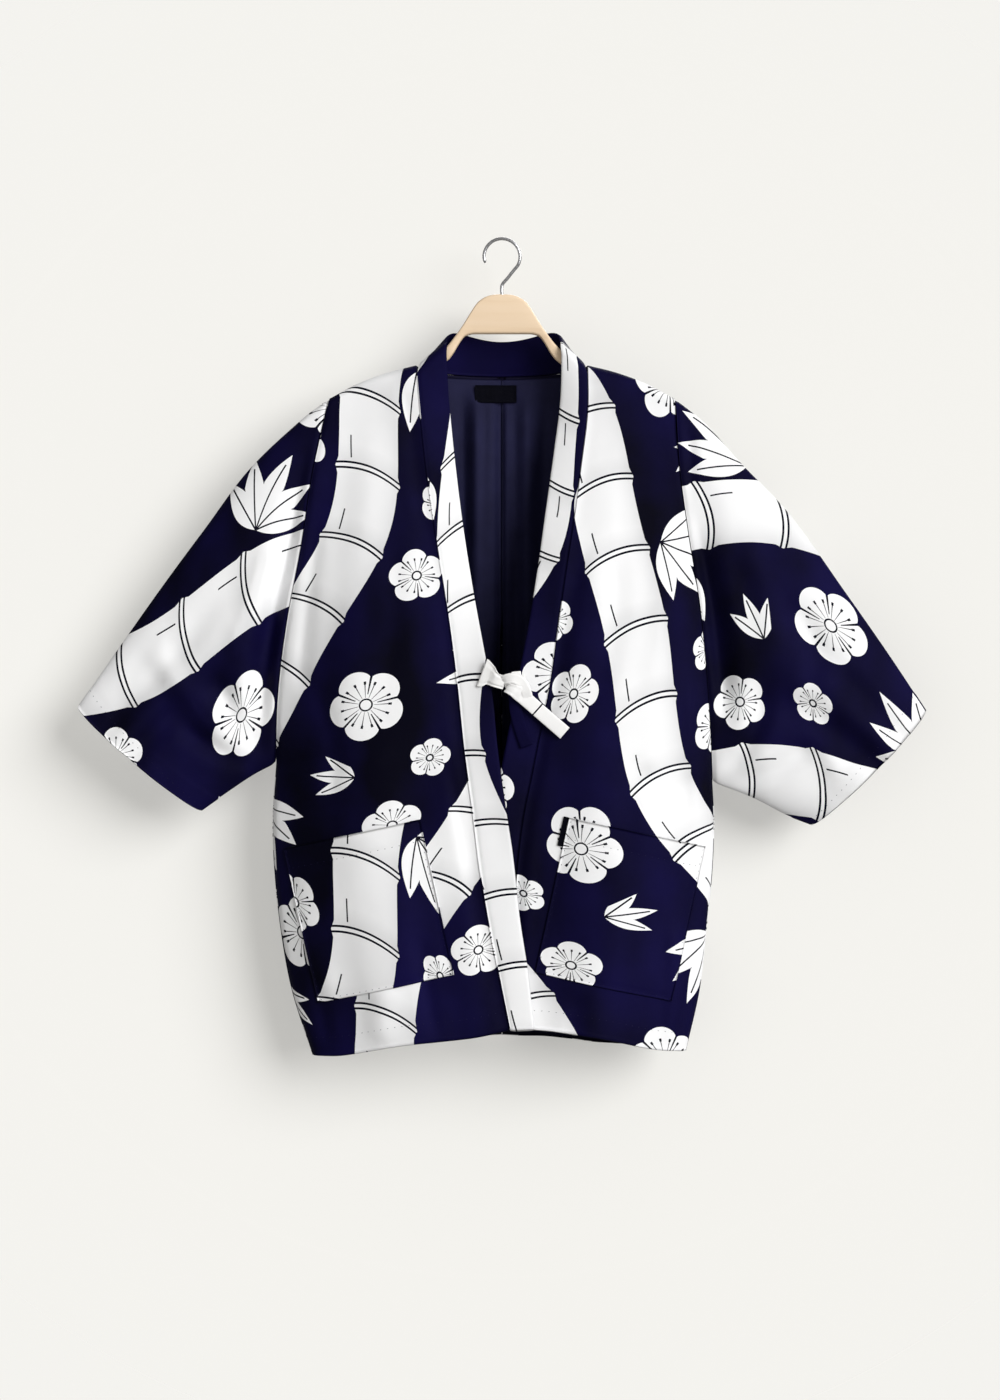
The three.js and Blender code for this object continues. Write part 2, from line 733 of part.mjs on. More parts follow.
function pockets() {
  const turn = THREE.MathUtils.degToRad(pocket.turn);
  for (const half of Object.values(halves)) {
    const corner = pocket.corner[half.name];
    const face = { at: frontPoint(half) };
    const point = (a, b, depth) => {
      const [x, y] = [a * pocket.width, b * pocket.height];
      const out = corner.out + x * Math.cos(turn) - y * Math.sin(turn);
      const z = corner.z - x * Math.sin(turn) - y * Math.cos(turn);
      const { u, v } = placeOn(half.front, out, z);
      const p = face.at(u, v);
      const slack = pocket.slack * section(a) * (1 - smooth(b / 0.5));
      const inside = new THREE.Vector3(p.x, 0, p.z);
      return p.addScaledVector(normalAt(face, u, v, inside), pocket.lift + slack + pocket.cloth - depth);
    };
    const columns = spread(pocketGrid.across, 0, 1);
    const rows = (depth) => spread(pocketGrid.down, 0, 1).map((b) => columns.map((a) => point(a, b, depth)));
    add(`pocket_${half.name}`, solid(rows(0), rows(pocket.cloth)), printed);
  }
}

function backLining() {
  const top = cloth + seamGap;
  for (const half of Object.values(halves)) {
    const places = backPlaces(half).filter((u) => u < liningReach);
    const depths = [top, top + liningCloth];
    const [near, far] = layers({ at: backPoint(half) }, places, backRows.slice(2, -1), depths, 1);
    add(`lining_back_${half.name}`, solid(near, far), lined);
  }
}

// A closed body through rings of the same number of points, with flat ends.
function loft(rings) {
  const count = rings[0].length;
  const points = rings.flat();
  const index = [];
  for (let r = 0; r < rings.length - 1; r++)
    for (let c = 0; c < count; c++) {
      const [a, b] = [r * count + c, r * count + ((c + 1) % count)];
      index.push(a, b, b + count, a, b + count, a + count);
    }
  const last = (rings.length - 1) * count;
  for (let c = 1; c < count - 1; c++) index.push(0, c + 1, c, last, last + c, last + c + 1);
  return facingOut(points, index);
}

// A flat strip along points: each has a middle, a way across and a half width.
function strip(stations, thick) {
  return loft(
    stations.map(({ middle, across, halfWidth }, i) => {
      const [before, after] = [stations[Math.max(i - 1, 0)], stations[Math.min(i + 1, stations.length - 1)]];
      const along = after.middle.clone().sub(before.middle).normalize();
      const normal = across.clone().cross(along).normalize();
      const corner = ([s, t]) =>
        middle.clone().addScaledVector(across, s * halfWidth).addScaledVector(normal, (t * thick) / 2);
      return [...tieSection, ...tieSection.map(([s, t]) => [-s, -t])].map(corner);
    }),
  );
}

// The share of a curve's length up to which its points pass a test.
function shareUntil(curve, passes) {
  let [low, high] = [0, 1];
  for (let i = 0; i < 30; i++) {
    const middle = (low + high) / 2;
    if (passes(curve(middle))) low = middle;
    else high = middle;
  }
  return low;
}

// Each tie is sewn into the collar's edge and narrows as it runs to the knot.
function tieRoots() {
  const ends = { right: knot.x - knot.halfWidth - tie.gap, left: knot.x };
  for (const half of Object.values(halves)) {
    const place = (z) => collarEdgePoint(half, shareUntil(half.edge, (p) => p.z > z));
    const wide = half.name === "right" ? tie.rootWidth : tie.width;
    const rootZ = half.name === "right" ? tie.rootZ : knot.z;
    const [upper, lower] = [place(rootZ + wide / 2), place(rootZ - wide / 2)];
    const across = upper.clone().sub(lower).normalize();
    const root = upper.clone().lerp(lower, 0.5);
    root.x -= half.sign * tie.gap;
    const behindKnot = knot.y + knot.halfDepth + tie.thick / 2 + tie.gap;
    root.y = half.name === "right" ? root.y + tie.thick / 2 : behindKnot;
    const end = new THREE.Vector3(ends[half.name], half.name === "right" ? knot.y + 2 : root.y, knot.z);
    const stations = [0, 0.2, 0.5, 0.8, 1].map((t) => ({
      middle: root.clone().lerp(end, t),
      across: across.clone().lerp(new THREE.Vector3(0, 0, 1), t).normalize(),
      halfWidth: mix(wide, tie.width, smooth(t * 1.2)) / 2,
    }));
    add(`tie_${half.name}`, strip(stations, tie.thick), printed);
  }
}

function freeEndStrips() {
  const half = halves.left;
  for (const [name, rows] of Object.entries(freeEnds)) {
    const route = new THREE.CatmullRomCurve3(
      rows.map(({ x, z, lift }) => {
        const { u, v } = placeOn(half.front, x, z, { u: 0, v: 0.5 });
        return new THREE.Vector3(x, -frontRise(half, Math.max(u, 0), v) - lift, z);
      }),
    );
    const stations = spread(7, 0, 1).map((t) => {
      const along = route.getTangent(t);
      return {
        middle: route.getPoint(t),
        across: new THREE.Vector3(-along.z, 0, along.x).normalize(),
        halfWidth: tie.width / 2,
      };
    });
    add(`tie_end_${name}`, strip(stations, tie.thick), printed);
  }
}

function tieKnot() {
  const rings = [];
  for (const t of spread(knotGrid.along - 1, 0.03, 0.97)) {
    const width = section(t) ** 0.8;
    const waist = 1 - knot.waist * Math.cos((t - 0.5) * 3 * Math.PI);
    rings.push(
      Array.from({ length: knotGrid.around }, (_, k) => {
        const angle = (2 * Math.PI * k) / knotGrid.around;
        return new THREE.Vector3(
          (2 * t - 1) * knot.halfWidth,
          Math.cos(angle) * knot.halfDepth * width * waist,
          Math.sin(angle) * knot.halfHeight * width * waist,
        );
      }),
    );
  }
  const geometry = loft(rings);
  geometry.translate(knot.x, knot.y, knot.z);
  add("tie_knot", geometry, printed);
}

function neckLabel() {
  const depth = cloth + liningCloth + 2 * seamGap;
  const point = (a, b, below) => {
    const x = label.middleX + (a - 0.5) * label.width;
    const half = x < 0 ? halves.right : halves.left;
    const { u, v } = placeOn(half.back, Math.abs(x), label.topZ - b * label.height, { u: 0.1, v: 0.03 });
    const p = backPoint(half)(u, v);
    return p.setY(p.y - depth - below);
  };
  const columns = spread(labelGrid.across, 0, 1);
  const rows = (below) => spread(labelGrid.down, 0, 1).map((b) => columns.map((a) => point(a, b, below)));
  add("label", solid(rows(0), rows(label.thick)), black);
}

function woodenHanger() {
  const arm = hanger.armPlaces.map((out) => {
    const shoulderZ = ridge(shareUntil(ridge, (p) => p.out < out)).z;
    const top = shoulderZ - cloth - hanger.clearance;
    const toEnd = (out - hanger.bluntFrom) / (hanger.armPlaces.at(-1) + 1 - hanger.bluntFrom);
    const blunt = hanger.blunt * (1 - section(0.5 + clamp(toEnd) / 2));
    return { out, top: top - blunt, bottom: top - hanger.armHeight + blunt };
  });
  const rows = [...hanger.crown, ...arm];
  const stations = [
    ...rows
      .slice(1)
      .reverse()
      .map((row) => ({ ...row, out: -row.out })),
    ...rows,
  ];
  const [half, chamfer] = [hanger.thick / 2, hanger.chamfer];
  const rings = stations.map(({ out, top, bottom }) =>
    [
      [-half + chamfer, top],
      [half - chamfer, top],
      [half, top - chamfer],
      [half, bottom + chamfer],
      [half - chamfer, bottom],
      [-half + chamfer, bottom],
      [-half, bottom + chamfer],
      [-half, top - chamfer],
    ].map(([y, z]) => new THREE.Vector3(out, y, z)),
  );
  add("hanger", loft(rings), wood);
}

function steelHook() {
  const radius = hook.wire / 2;
  const centreZ = radius - hook.bend;
  const points = [
    new THREE.Vector3(0, 0, hanger.crown[0].top + seamGap),
    new THREE.Vector3(0, 0, hook.stemTop),
    new THREE.Vector3(hook.bend * 0.3, 0, centreZ - hook.bend * 1.2),
  ];
  for (let degrees = hook.startsAt; degrees <= hook.opensAt; degrees += hook.step) {
    const angle = THREE.MathUtils.degToRad(degrees);
    points.push(new THREE.Vector3(hook.bend * Math.cos(angle), 0, centreZ + hook.bend * Math.sin(angle)));
  }
  const wire = new THREE.Shape();
  wire.absarc(0, 0, radius, 0, 2 * Math.PI);
  const geometry = new THREE.ExtrudeGeometry(wire, {
    steps: hookGrid.along,
    curveSegments: hookGrid.around,
    bevelEnabled: false,
    extrudePath: new THREE.CatmullRomCurve3(points),
  });
  add("hook", geometry, steel);
}

fronts();
backs();
sleeves();
collar();
pockets();
backLining();
tieRoots();
freeEndStrips();
tieKnot();
neckLabel();
woodenHanger();
steelHook();

export default group;
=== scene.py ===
"""Looks of a haori on a wooden hanger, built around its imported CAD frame.

Metres in Blender, but the garment's faces are worked out in millimetres, as in the CAD. The front faces
-Y, +X is the wearer's left, and the origin is the inside top of the hook. "out" is the distance from the
middle plane towards a half's own side. Every cloth piece is a thin shell on its solid's form.
"""

import math

import bpy
import numpy as np
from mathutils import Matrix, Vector

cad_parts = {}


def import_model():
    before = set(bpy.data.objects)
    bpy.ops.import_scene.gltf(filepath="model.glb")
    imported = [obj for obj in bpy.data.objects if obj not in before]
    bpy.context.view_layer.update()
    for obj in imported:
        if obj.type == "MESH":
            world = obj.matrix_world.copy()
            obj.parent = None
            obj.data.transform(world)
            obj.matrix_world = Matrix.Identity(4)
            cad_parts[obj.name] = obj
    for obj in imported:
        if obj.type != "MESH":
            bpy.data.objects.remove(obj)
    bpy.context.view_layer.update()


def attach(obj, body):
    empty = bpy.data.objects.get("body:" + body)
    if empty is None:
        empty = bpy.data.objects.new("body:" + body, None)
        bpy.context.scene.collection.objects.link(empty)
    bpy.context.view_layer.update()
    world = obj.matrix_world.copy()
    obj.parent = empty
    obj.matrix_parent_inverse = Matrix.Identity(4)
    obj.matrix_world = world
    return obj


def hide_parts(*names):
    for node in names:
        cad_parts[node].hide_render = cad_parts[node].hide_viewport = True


MM = 0.001
SIDES = {"right": -1, "left": 1}

# --------------------------------------------------------------------------------------------------
# Driving sizes, in millimetres, nearly as in the CAD, where the walls are a little thicker
# --------------------------------------------------------------------------------------------------

CLOTH = 1.5
LINING_CLOTH = 0.8
COLLAR_WALL = 3.2
SEAM_GAP = 0.3  # between two pieces that are sewn together
NECK_GAP = 1.2  # between the backs and the collar
NECK_TUCK = 2.2  # how far the collar's seam lies inside their edge at the side of the neck

# Radii of the folds over the hanger, beside the neck and down the sides.
SHOULDER_RADIUS = 9
NECK_RADIUS = {"front": 15, "back": 34}
SIDE_RADIUS = 7

# How far each part stands out from the middle plane.
FRONT_DEPTH = 56
BACK_DEPTH = 44
ARMHOLE_DEPTH = 22
ARMHOLE_LENGTH = 400  # about, for the fold at its top
SLEEVE_DEPTH = 27
CUFF_DEPTH = 20
NECK_DEPTH = 38

# Where a panel has its full depth, below its top and in from its side; how far out from the neck the fold
# there turns into the shoulder's; and how far from the edges the broad folds fade.
FULL_BELOW = 270
FULL_INWARDS = 140
NECK_BLEND = 75
FOLD_FADE = 60
HEM_NARROWS = {"by": 7, "starts": 0.6}  # how much flatter the fronts are at the hem

# Shares of a sleeve's length: what the seam gap takes, where it has its full depth, and its folds theirs.
SLEEVE_START = 0.004
SLEEVE_FULL = 0.3
SLEEVE_FOLD_FADE = 0.1
BACK_FOLD_SHARE = 0.7  # how deep a sleeve's folds are at the back, against the front
CUFF_BOW = 5  # how far the cuff's line bows outwards

BACK_NECK_Z = -148
BACK_HEM = [(0, -884), (70, -888), (145, -894)]  # from the centre-back seam; it ends where the front's does
COLLAR_TOP = {"z": -109.5, "lean": 9, "shoulder": 10}
# How far the collar's edge rolls inwards beside the open chest, and where down the front.
COLLAR_ROLL = {"size": 13, "full": 0.12, "fades": 0.3, "gone": 0.5}
COLLAR_FOLD = {"share": 0.08, "blunt": 0.7}  # the rounding of its folded edge
# How the fronts lie beside the opening: they fall back, and the right one laps over the left.
OPENING = {"fall": 5, "fall_by": 150, "width": 0.35, "lap_starts": 0.42, "lap_over": 0.15}
LAP = {"right": 5, "left": -2}

SHOULDER = [(95, -138.5), (128, -147), (161, -159.5), (191, -175.5)]
OUTLINES = {
    "right": {
        "sleeve_top": [(191, -175.5), (220, -197), (280, -254), (328, -318), (386, -397), (469, -516)],
        "armhole": [(191, -175.5), (208, -256), (221, -340), (237, -425), (247, -505), (250, -579)],
        "sleeve_under": [(250, -579), (275, -592), (308, -614), (332, -631)],
        "side": [(250, -579), (254, -640), (252, -700), (245, -765), (233, -830), (210, -902)],
        "hem": [(-9, -870), (35, -879), (109, -887), (175, -900), (210, -902)],
        "collar_seam": [
            (95, -138.5), (89, -205), (82, -265), (70, -345), (58, -421), (49, -490),
            (41, -565), (32, -630), (24, -695), (14, -755), (2, -815), (-9, -870),
        ],
        "collar_edge": [
            (62, -112), (58, -180), (51, -250), (42, -320), (31, -390), (20, -452), (11, -500),
            (5, -560), (-3, -620), (-12, -680), (-19, -745), (-28, -805), (-35, -869),
        ],
    },
    "left": {
        "sleeve_top": [
            (191, -175.5), (225, -203), (262, -244), (318, -303), (384, -395), (430, -461), (469, -520),
        ],
        "armhole": [
            (191, -175.5), (195, -250), (205, -325), (217, -400), (225, -475), (230, -545), (233, -600),
        ],
        "sleeve_under": [(233, -600), (279, -618), (314, -636), (342, -647)],
        "side": [(233, -600), (235, -645), (233, -700), (227, -760), (219, -830), (204, -897)],
        "hem": [(7, -868), (60, -872), (115, -881), (165, -893), (204, -897)],
        "collar_seam": [
            (95, -138.5), (95, -190), (88, -248), (79, -313), (70, -370), (61, -432), (53, -490),
            (43, -540), (33, -590), (23, -640), (16, -700), (11, -780), (7, -868),
        ],
        "collar_edge": [
            (66, -112), (64, -177), (57, -235), (47, -306), (38, -370), (28, -432), (18, -485),
            (8, -540), (-3, -595), (-13, -645), (-21, -700), (-27, -780), (-31, -866),
        ],
    },
}

# The broad folds that the solids have too: place across, half width, rise, where down the panel it starts
# and is full, and how far it leans on the way down.
FRONT_FOLDS = {
    "right": [(0.24, 0.14, -3, 0.5, 0.8, 0.03), (0.46, 0.19, 3, 0.35, 0.9, 0.06),
              (0.72, 0.17, -2.6, 0.45, 0.95, 0.04)],
    "left": [(0.2, 0.16, -3.2, 0.5, 0.85, 0.04), (0.46, 0.18, 3, 0.4, 0.9, 0.04),
             (0.74, 0.16, -2.6, 0.4, 0.9, 0.02)],
}
BACK_FOLDS = {
    "right": [(0.17, 0.15, 11, 0.2, 0.95, 0.03), (0.42, 0.13, -9, 0.3, 1, 0.03),
              (0.66, 0.14, 8, 0.4, 1, 0.02), (0.87, 0.09, -5, 0.55, 1, 0)],
    "left": [(0.21, 0.15, 10, 0.25, 1, 0.02), (0.48, 0.14, -9, 0.35, 1, 0.02),
             (0.72, 0.13, 8, 0.4, 1, 0.02), (0.9, 0.08, -4, 0.6, 1, 0)],
}
SLEEVE_FOLDS = [(0.8, 0.12, -5, 0.02, 0.5, -0.35), (0.58, 0.13, 4, 0.04, 0.55, -0.25),
                (0.36, 0.11, -3.5, 0.05, 0.6, -0.1), (0.55, 0.16, 3, 0.5, 1, 0.1)]

POCKET = {"width": 153, "height": 173, "turn": 12.5, "cloth": 1.3, "lift": 0.8, "slack": 1.2,
          "corner": {"right": (90, -640), "left": (74, -638)},
          # its mouth's turning and how far down it stands open, as a share; how far its cloth stands out
          # and over what distance from its edges; and its line of stitches from them
          "mouth": 23, "mouth_slack": 0.45, "full": 1.3, "full_by": 9, "seam_in": 4.5}

# --------------------------------------------------------------------------------------------------
# Curves and patches; every function takes numpy arrays
# --------------------------------------------------------------------------------------------------


def mix(a, b, t):
    return a + (b - a) * t


def unit(v):
    return v / np.maximum(np.linalg.norm(v, axis=-1, keepdims=True), 1e-9)


def lengths_along(points):
    """The length along a line of points up to each of them."""
    return np.concatenate([[0], np.cumsum(np.linalg.norm(np.diff(points, axis=0), axis=1))])


def smooth(t):
    t = np.clip(t, 0, 1)
    return t * t * (3 - 2 * t)


def arch(distance, radius):
    """A quarter circle's height at a distance in from its edge, level past the radius."""
    return np.sqrt(np.maximum(radius**2 - (radius - np.clip(distance, 0, radius)) ** 2, 0))


def lens(t):
    return 1 - (1 - np.clip(t, 0, 1)) ** 2


def section(t):
    """The section of a flattened tube, from its top fold 0 to its bottom fold 1."""
    return np.sqrt(np.maximum(0, 1 - (2 * t - 1) ** 2))


def through(rows):
    """A smooth curve through rows, as a function of the share of its length."""
    rows = np.array(rows, float)
    at = lengths_along(rows)
    last = len(rows) - 1
    before, after = np.maximum(np.arange(len(rows)) - 1, 0), np.minimum(np.arange(len(rows)) + 1, last)
    slope = (rows[after] - rows[before]) / (at[after] - at[before])[:, None]

    def curve(share):
        s = np.clip(np.asarray(share, float), 0, 1) * at[-1]
        i = np.clip(np.searchsorted(at, s, side="left") - 1, 0, last - 1)
        span = (at[i + 1] - at[i])[..., None]
        t = (s - at[i])[..., None] / span
        return (
            rows[i] * (1 + 2 * t) * (1 - t) ** 2
            + rows[i + 1] * t * t * (3 - 2 * t)
            + slope[i] * span * t * (1 - t) ** 2
            - slope[i + 1] * span * t * t * (1 - t)
        )

    return curve


def length_of(curve):
    return lengths_along(curve(np.linspace(0, 1, 61)))[-1]


def joined(first, second, share):
    """One curve after another, each given its share of the whole."""

    def curve(t):
        t = np.asarray(t, float)
        return np.where((t < share)[..., None], first(t / share), second((t - share) / (1 - share)))

    return curve


def patch(top, bottom, inner, outer):
    """The flat patch between four curves that meet at the corners: across 0 to 1, down 0 to 1."""
    corners = [top(0.0), top(1.0), bottom(0.0), bottom(1.0)]

    def shape(u, v):
        u, v = np.broadcast_arrays(np.asarray(u, float), np.asarray(v, float))
        uu, vv = u[..., None], v[..., None]
        return (
            (1 - vv) * top(u) + vv * bottom(u) + (1 - uu) * inner(v) + uu * outer(v)
            - (1 - uu) * (1 - vv) * corners[0] - uu * (1 - vv) * corners[1]
            - (1 - uu) * vv * corners[2] - uu * vv * corners[3]
        )

    return shape


def fold_rise(folds, across, down):
    total = 0
    for at, half, rise, start, full, lean in folds:
        off = np.clip((across - at - lean * down) / half, -1, 1)
        total = total + rise * np.cos(off * np.pi / 2) ** 2 * smooth((down - start) / (full - start))
    return total


RIDGE = through(SHOULDER)
NECK_OUT = SHOULDER[0][0]


class Half:
    """The flat shapes of one half of the garment, in out and z."""

    def __init__(self, name):
        o = OUTLINES[name]
        self.name, self.sign = name, SIDES[name]
        armhole, side = through(o["armhole"]), through(o["side"])
        self.underarm = length_of(armhole) / (length_of(armhole) + length_of(side))
        outer = joined(armhole, side, self.underarm)
        back_hem = through([*BACK_HEM, o["hem"][-1]])
        quarter = np.linspace(0, np.pi / 2, 5)
        back_neck = through(
            np.stack([NECK_OUT * np.sin(quarter), mix(BACK_NECK_Z, SHOULDER[0][1], 1 - np.cos(quarter))], 1)
        )
        self.neck_share = length_of(back_neck) / (length_of(back_neck) + length_of(RIDGE))
        self.front = patch(RIDGE, through(o["hem"]), through(o["collar_seam"]), outer)
        self.back = patch(
            joined(back_neck, RIDGE, self.neck_share),
            back_hem,
            through([(0, BACK_NECK_Z), BACK_HEM[0]]),
            outer,
        )
        top_end, under_end = np.array(o["sleeve_top"][-1]), np.array(o["sleeve_under"][-1])

        def cuff(t):
            t = np.asarray(t, float)[..., None]
            return mix(top_end, under_end, t) + section(t) * np.array([CUFF_BOW, -CUFF_BOW])

        self.sleeve = patch(through(o["sleeve_top"]), through(o["sleeve_under"]), armhole, cuff)
        self.edge = through(o["collar_edge"])


HALVES = {name: Half(name) for name in SIDES}


def armhole_rise(t):
    return np.hypot(arch(t * ARMHOLE_LENGTH, SHOULDER_RADIUS) * (1 - t), ARMHOLE_DEPTH * section(t))


class Distances:
    """Distances that a panel needs at a place: below its top, and in from its edges."""

    def __init__(self, shape, u, v):
        p, top, outer, inner = shape(u, v), shape(u, 0 * v), shape(0 * u + 1, v), shape(0 * u, v)
        self.top_out = top[..., 0]
        self.drop = np.linalg.norm(p - top, axis=-1)
        self.inwards = np.linalg.norm(p - outer, axis=-1)
        self.from_opening = np.linalg.norm(p - inner, axis=-1)
        self.from_hem = np.linalg.norm(p - shape(u, 0 * v + 1), axis=-1)


def panel_rise(half, place, v, full, start, beside):
    radius = mix(beside, SHOULDER_RADIUS, smooth((place.top_out - NECK_OUT) / NECK_BLEND))
    first = np.hypot(start, arch(place.drop, radius) * np.clip(place.top_out / NECK_OUT, 0, 1) ** 2)
    deep = first + (full - first) * smooth(place.drop / FULL_BELOW)
    edge = np.where(v < half.underarm, armhole_rise(np.clip(v / half.underarm, 0, 1)), 0)
    least = np.minimum(np.hypot(edge, arch(place.inwards, SIDE_RADIUS)), deep)
    return least + (deep - least) * lens(place.inwards / FULL_INWARDS)


def fold_fade(place):
    return lens(place.inwards / FOLD_FADE) * smooth(place.drop / FOLD_FADE)


def front_rise(half, u, v):
    place = Distances(half.front, u, v)
    full = FRONT_DEPTH - HEM_NARROWS["by"] * smooth((v - HEM_NARROWS["starts"]) / (1 - HEM_NARROWS["starts"]))
    near_opening = 1 - smooth(u / OPENING["width"])
    lap = LAP[half.name] * smooth((v - OPENING["lap_starts"]) / OPENING["lap_over"])
    fall = OPENING["fall"] * smooth(place.drop / OPENING["fall_by"])
    return (
        panel_rise(half, place, v, full, 0, NECK_RADIUS["front"])
        + fold_rise(FRONT_FOLDS[half.name], u, v) * fold_fade(place)
        + near_opening * (lap - fall)
    )


def back_rise(half, u, v):
    place = Distances(half.back, u, v)
    around = np.clip(place.top_out / NECK_OUT, 0, 1)
    start = np.where(u < half.neck_share, NECK_DEPTH * np.sqrt(1 - around**2), 0)
    folds = fold_rise(BACK_FOLDS[half.name], u, v) * fold_fade(place)
    return panel_rise(half, place, v, BACK_DEPTH, start, NECK_RADIUS["back"]) + folds


def placed(half, flat, y):
    return np.stack([half.sign * flat[..., 0], y, flat[..., 1]], -1)


def front_point(half, u, v):
    return placed(half, half.front(u, v), -np.maximum(front_rise(half, u, v), SEAM_GAP / 2))


def back_point(half, u, v):
    return placed(half, half.back(u, v), np.maximum(back_rise(half, u, v), SEAM_GAP / 2))


def down_sleeve(around):
    """The share down a sleeve from its top fold, and whether that is at the front. around is 0 to 1 down the
    front and 1 to 2 up the back."""
    turn = np.mod(around, 2)
    return np.where(turn < 1, turn, 2 - turn), turn < 1


def sleeve_point(half, around, along):
    """along: armhole 0 to cuff 1."""
    t, front = down_sleeve(around)
    away = smooth(along / SLEEVE_FULL)
    deep = mix(SLEEVE_DEPTH, CUFF_DEPTH, smooth((along - SLEEVE_FULL) / (1 - SLEEVE_FULL))) * section(t)
    fold = fold_rise(SLEEVE_FOLDS, t, along) * section(t) * smooth(along / SLEEVE_FOLD_FADE)
    rise = mix(armhole_rise(t), deep, away) + fold * np.where(front, 1, BACK_FOLD_SHARE)
    return placed(half, half.sleeve(along, t), np.where(front, -rise, rise))


# --------------------------------------------------------------------------------------------------
# Creases, given one by one. Each is a route in x and z, the half width and the rise of its middle.
# --------------------------------------------------------------------------------------------------

CREASES = {
    "front_right": [
        ([(-112, -146), (-101, -201), (-91, -268), (-80, -340)], 11, -3.2),
        ([(-140, -190), (-148, -300), (-166, -443), (-160, -560)], 26, 2.4),
        ([(-206, -300), (-214, -390), (-222, -498)], 15, -3.2),
        ([(-236, -470), (-204, -500), (-186, -560), (-188, -640)], 15, -2.6),
        ([(-246, -590), (-205, -604), (-150, -585), (-112, -560)], 15, 2.4),
        ([(-120, -320), (-116, -410), (-124, -500)], 17, -1.8),
        ([(-60, -560), (-42, -650), (-27, -746), (-8, -846)], 10, -3.4),
        ([(-92, -760), (-82, -830), (-72, -884)], 13, -2.8),
        ([(-206, -800), (-198, -850), (-192, -894)], 13, -2.6),
        ([(-130, -820), (-136, -886)], 20, 2.2),
    ],
    "front_left": [
        ([(92, -330), (74, -400), (62, -480), (50, -540)], 13, -3.6),
        ([(122, -330), (124, -410), (108, -490), (96, -560)], 20, -2.8),
        ([(172, -290), (180, -370), (174, -450), (160, -520)], 20, 2.8),
        ([(183, -178), (193, -210), (198, -250)], 7, -3.0),
        ([(205, -480), (210, -560), (214, -650)], 12, 2.2),
        ([(150, -560), (138, -640), (140, -700)], 18, -2.2),
        ([(222, -600), (180, -606), (140, -580)], 14, -2.0),
        ([(186, -745), (190, -820), (186, -892)], 11, 2.4),
        ([(84, -830), (78, -876)], 16, -2.4),
        ([(30, -640), (24, -720), (22, -800), (30, -866)], 12, 2.2),
    ],
    "back_right": [
        ([(-60, -190), (-84, -300), (-96, -430)], 20, -2.6),
        ([(-196, -240), (-204, -340), (-214, -450)], 16, -3.0),
        ([(-238, -540), (-196, -560), (-160, -620)], 18, 2.6),
        ([(-40, -420), (-52, -560), (-48, -700), (-60, -850)], 22, 2.6),
        ([(-130, -560), (-142, -700), (-138, -860)], 18, -2.8),
        ([(-206, -760), (-198, -880)], 14, -2.2),
    ],
    "back_left": [
        ([(52, -180), (70, -290), (72, -400)], 18, -2.4),
        ([(184, -230), (192, -330), (204, -430)], 15, -2.8),
        ([(222, -560), (176, -590), (140, -660)], 18, 2.4),
        ([(30, -360), (44, -520), (36, -690), (50, -830)], 20, 2.4),
        ([(112, -500), (126, -660), (120, -850)], 19, -2.6),
        ([(190, -740), (186, -870)], 13, -2.2),
    ],
    "sleeve_right_front": [
        ([(-216, -250), (-232, -340), (-252, -430), (-265, -500), (-264, -585)], 19, -13),
        ([(-262, -576), (-296, -525), (-322, -476)], 18, -7),
        ([(-262, -586), (-314, -566), (-362, -530)], 15, -6),
        ([(-252, -330), (-276, -410), (-300, -470)], 17, 3.6),
        ([(-300, -548), (-350, -500), (-392, -440)], 18, 3.4),
        ([(-430, -520), (-400, -470), (-370, -440)], 15, -2.6),
        ([(-390, -590), (-352, -560), (-322, -540)], 15, -2.4),
    ],
    "sleeve_left_front": [
        ([(203, -202), (208, -240), (205, -280)], 9, -4.0),
        ([(216, -320), (228, -390), (238, -460), (248, -540)], 19, -10),
        ([(262, -330), (290, -390), (296, -450)], 19, 3.6),
        ([(244, -596), (276, -548), (292, -490)], 16, -7),
        ([(246, -606), (300, -588), (350, -552)], 14, -5),
        ([(322, -390), (344, -450), (340, -510)], 17, -2.6),
        ([(300, -500), (350, -490), (402, -460)], 18, 2.8),
        ([(372, -600), (352, -560), (322, -540)], 15, 2.4),
    ],
    "sleeve_right_back": [
        ([(-214, -250), (-232, -340), (-250, -440), (-262, -540)], 18, -9),
        ([(-262, -570), (-310, -520), (-340, -460)], 17, -4.0),
        ([(-280, -330), (-310, -410), (-330, -480)], 18, 3.2),
        ([(-300, -590), (-360, -560), (-410, -510)], 15, 3.0),
    ],
    "sleeve_left_back": [
        ([(202, -230), (214, -330), (228, -430), (244, -550)], 18, -9),
        ([(248, -585), (290, -530), (320, -470)], 17, -3.8),
        ([(270, -320), (300, -400), (316, -470)], 18, 3.0),
        ([(290, -605), (350, -570), (400, -520)], 15, -2.8),
    ],
}


CREASE_FADE = 0.22  # the share of its length over which a crease fades at each end


def crease_rise(creases, x, z):
    """The creases' height at each place: a soft trough or ridge with a faint counter wave on each side."""
    total, steps = np.zeros_like(x), 16
    for route, half, rise in creases:
        points = through(route)(np.linspace(0, 1, steps + 1))
        best, share = np.full_like(x, 1e9), np.zeros_like(x)
        for i, (a, b) in enumerate(zip(points[:-1], points[1:])):
            d = b - a
            t = np.clip(((x - a[0]) * d[0] + (z - a[1]) * d[1]) / (d @ d), 0, 1)
            off = np.hypot(x - a[0] - t * d[0], z - a[1] - t * d[1])
            near = off < best
            best, share = np.where(near, off, best), np.where(near, (i + t) / steps, share)
        q = (best / half) ** 2
        ends = smooth(share / CREASE_FADE) * smooth((1 - share) / CREASE_FADE)
        total += rise * (1 - 0.9 * q) * np.exp(-q) * mix(0.15, 1, ends)
    return total


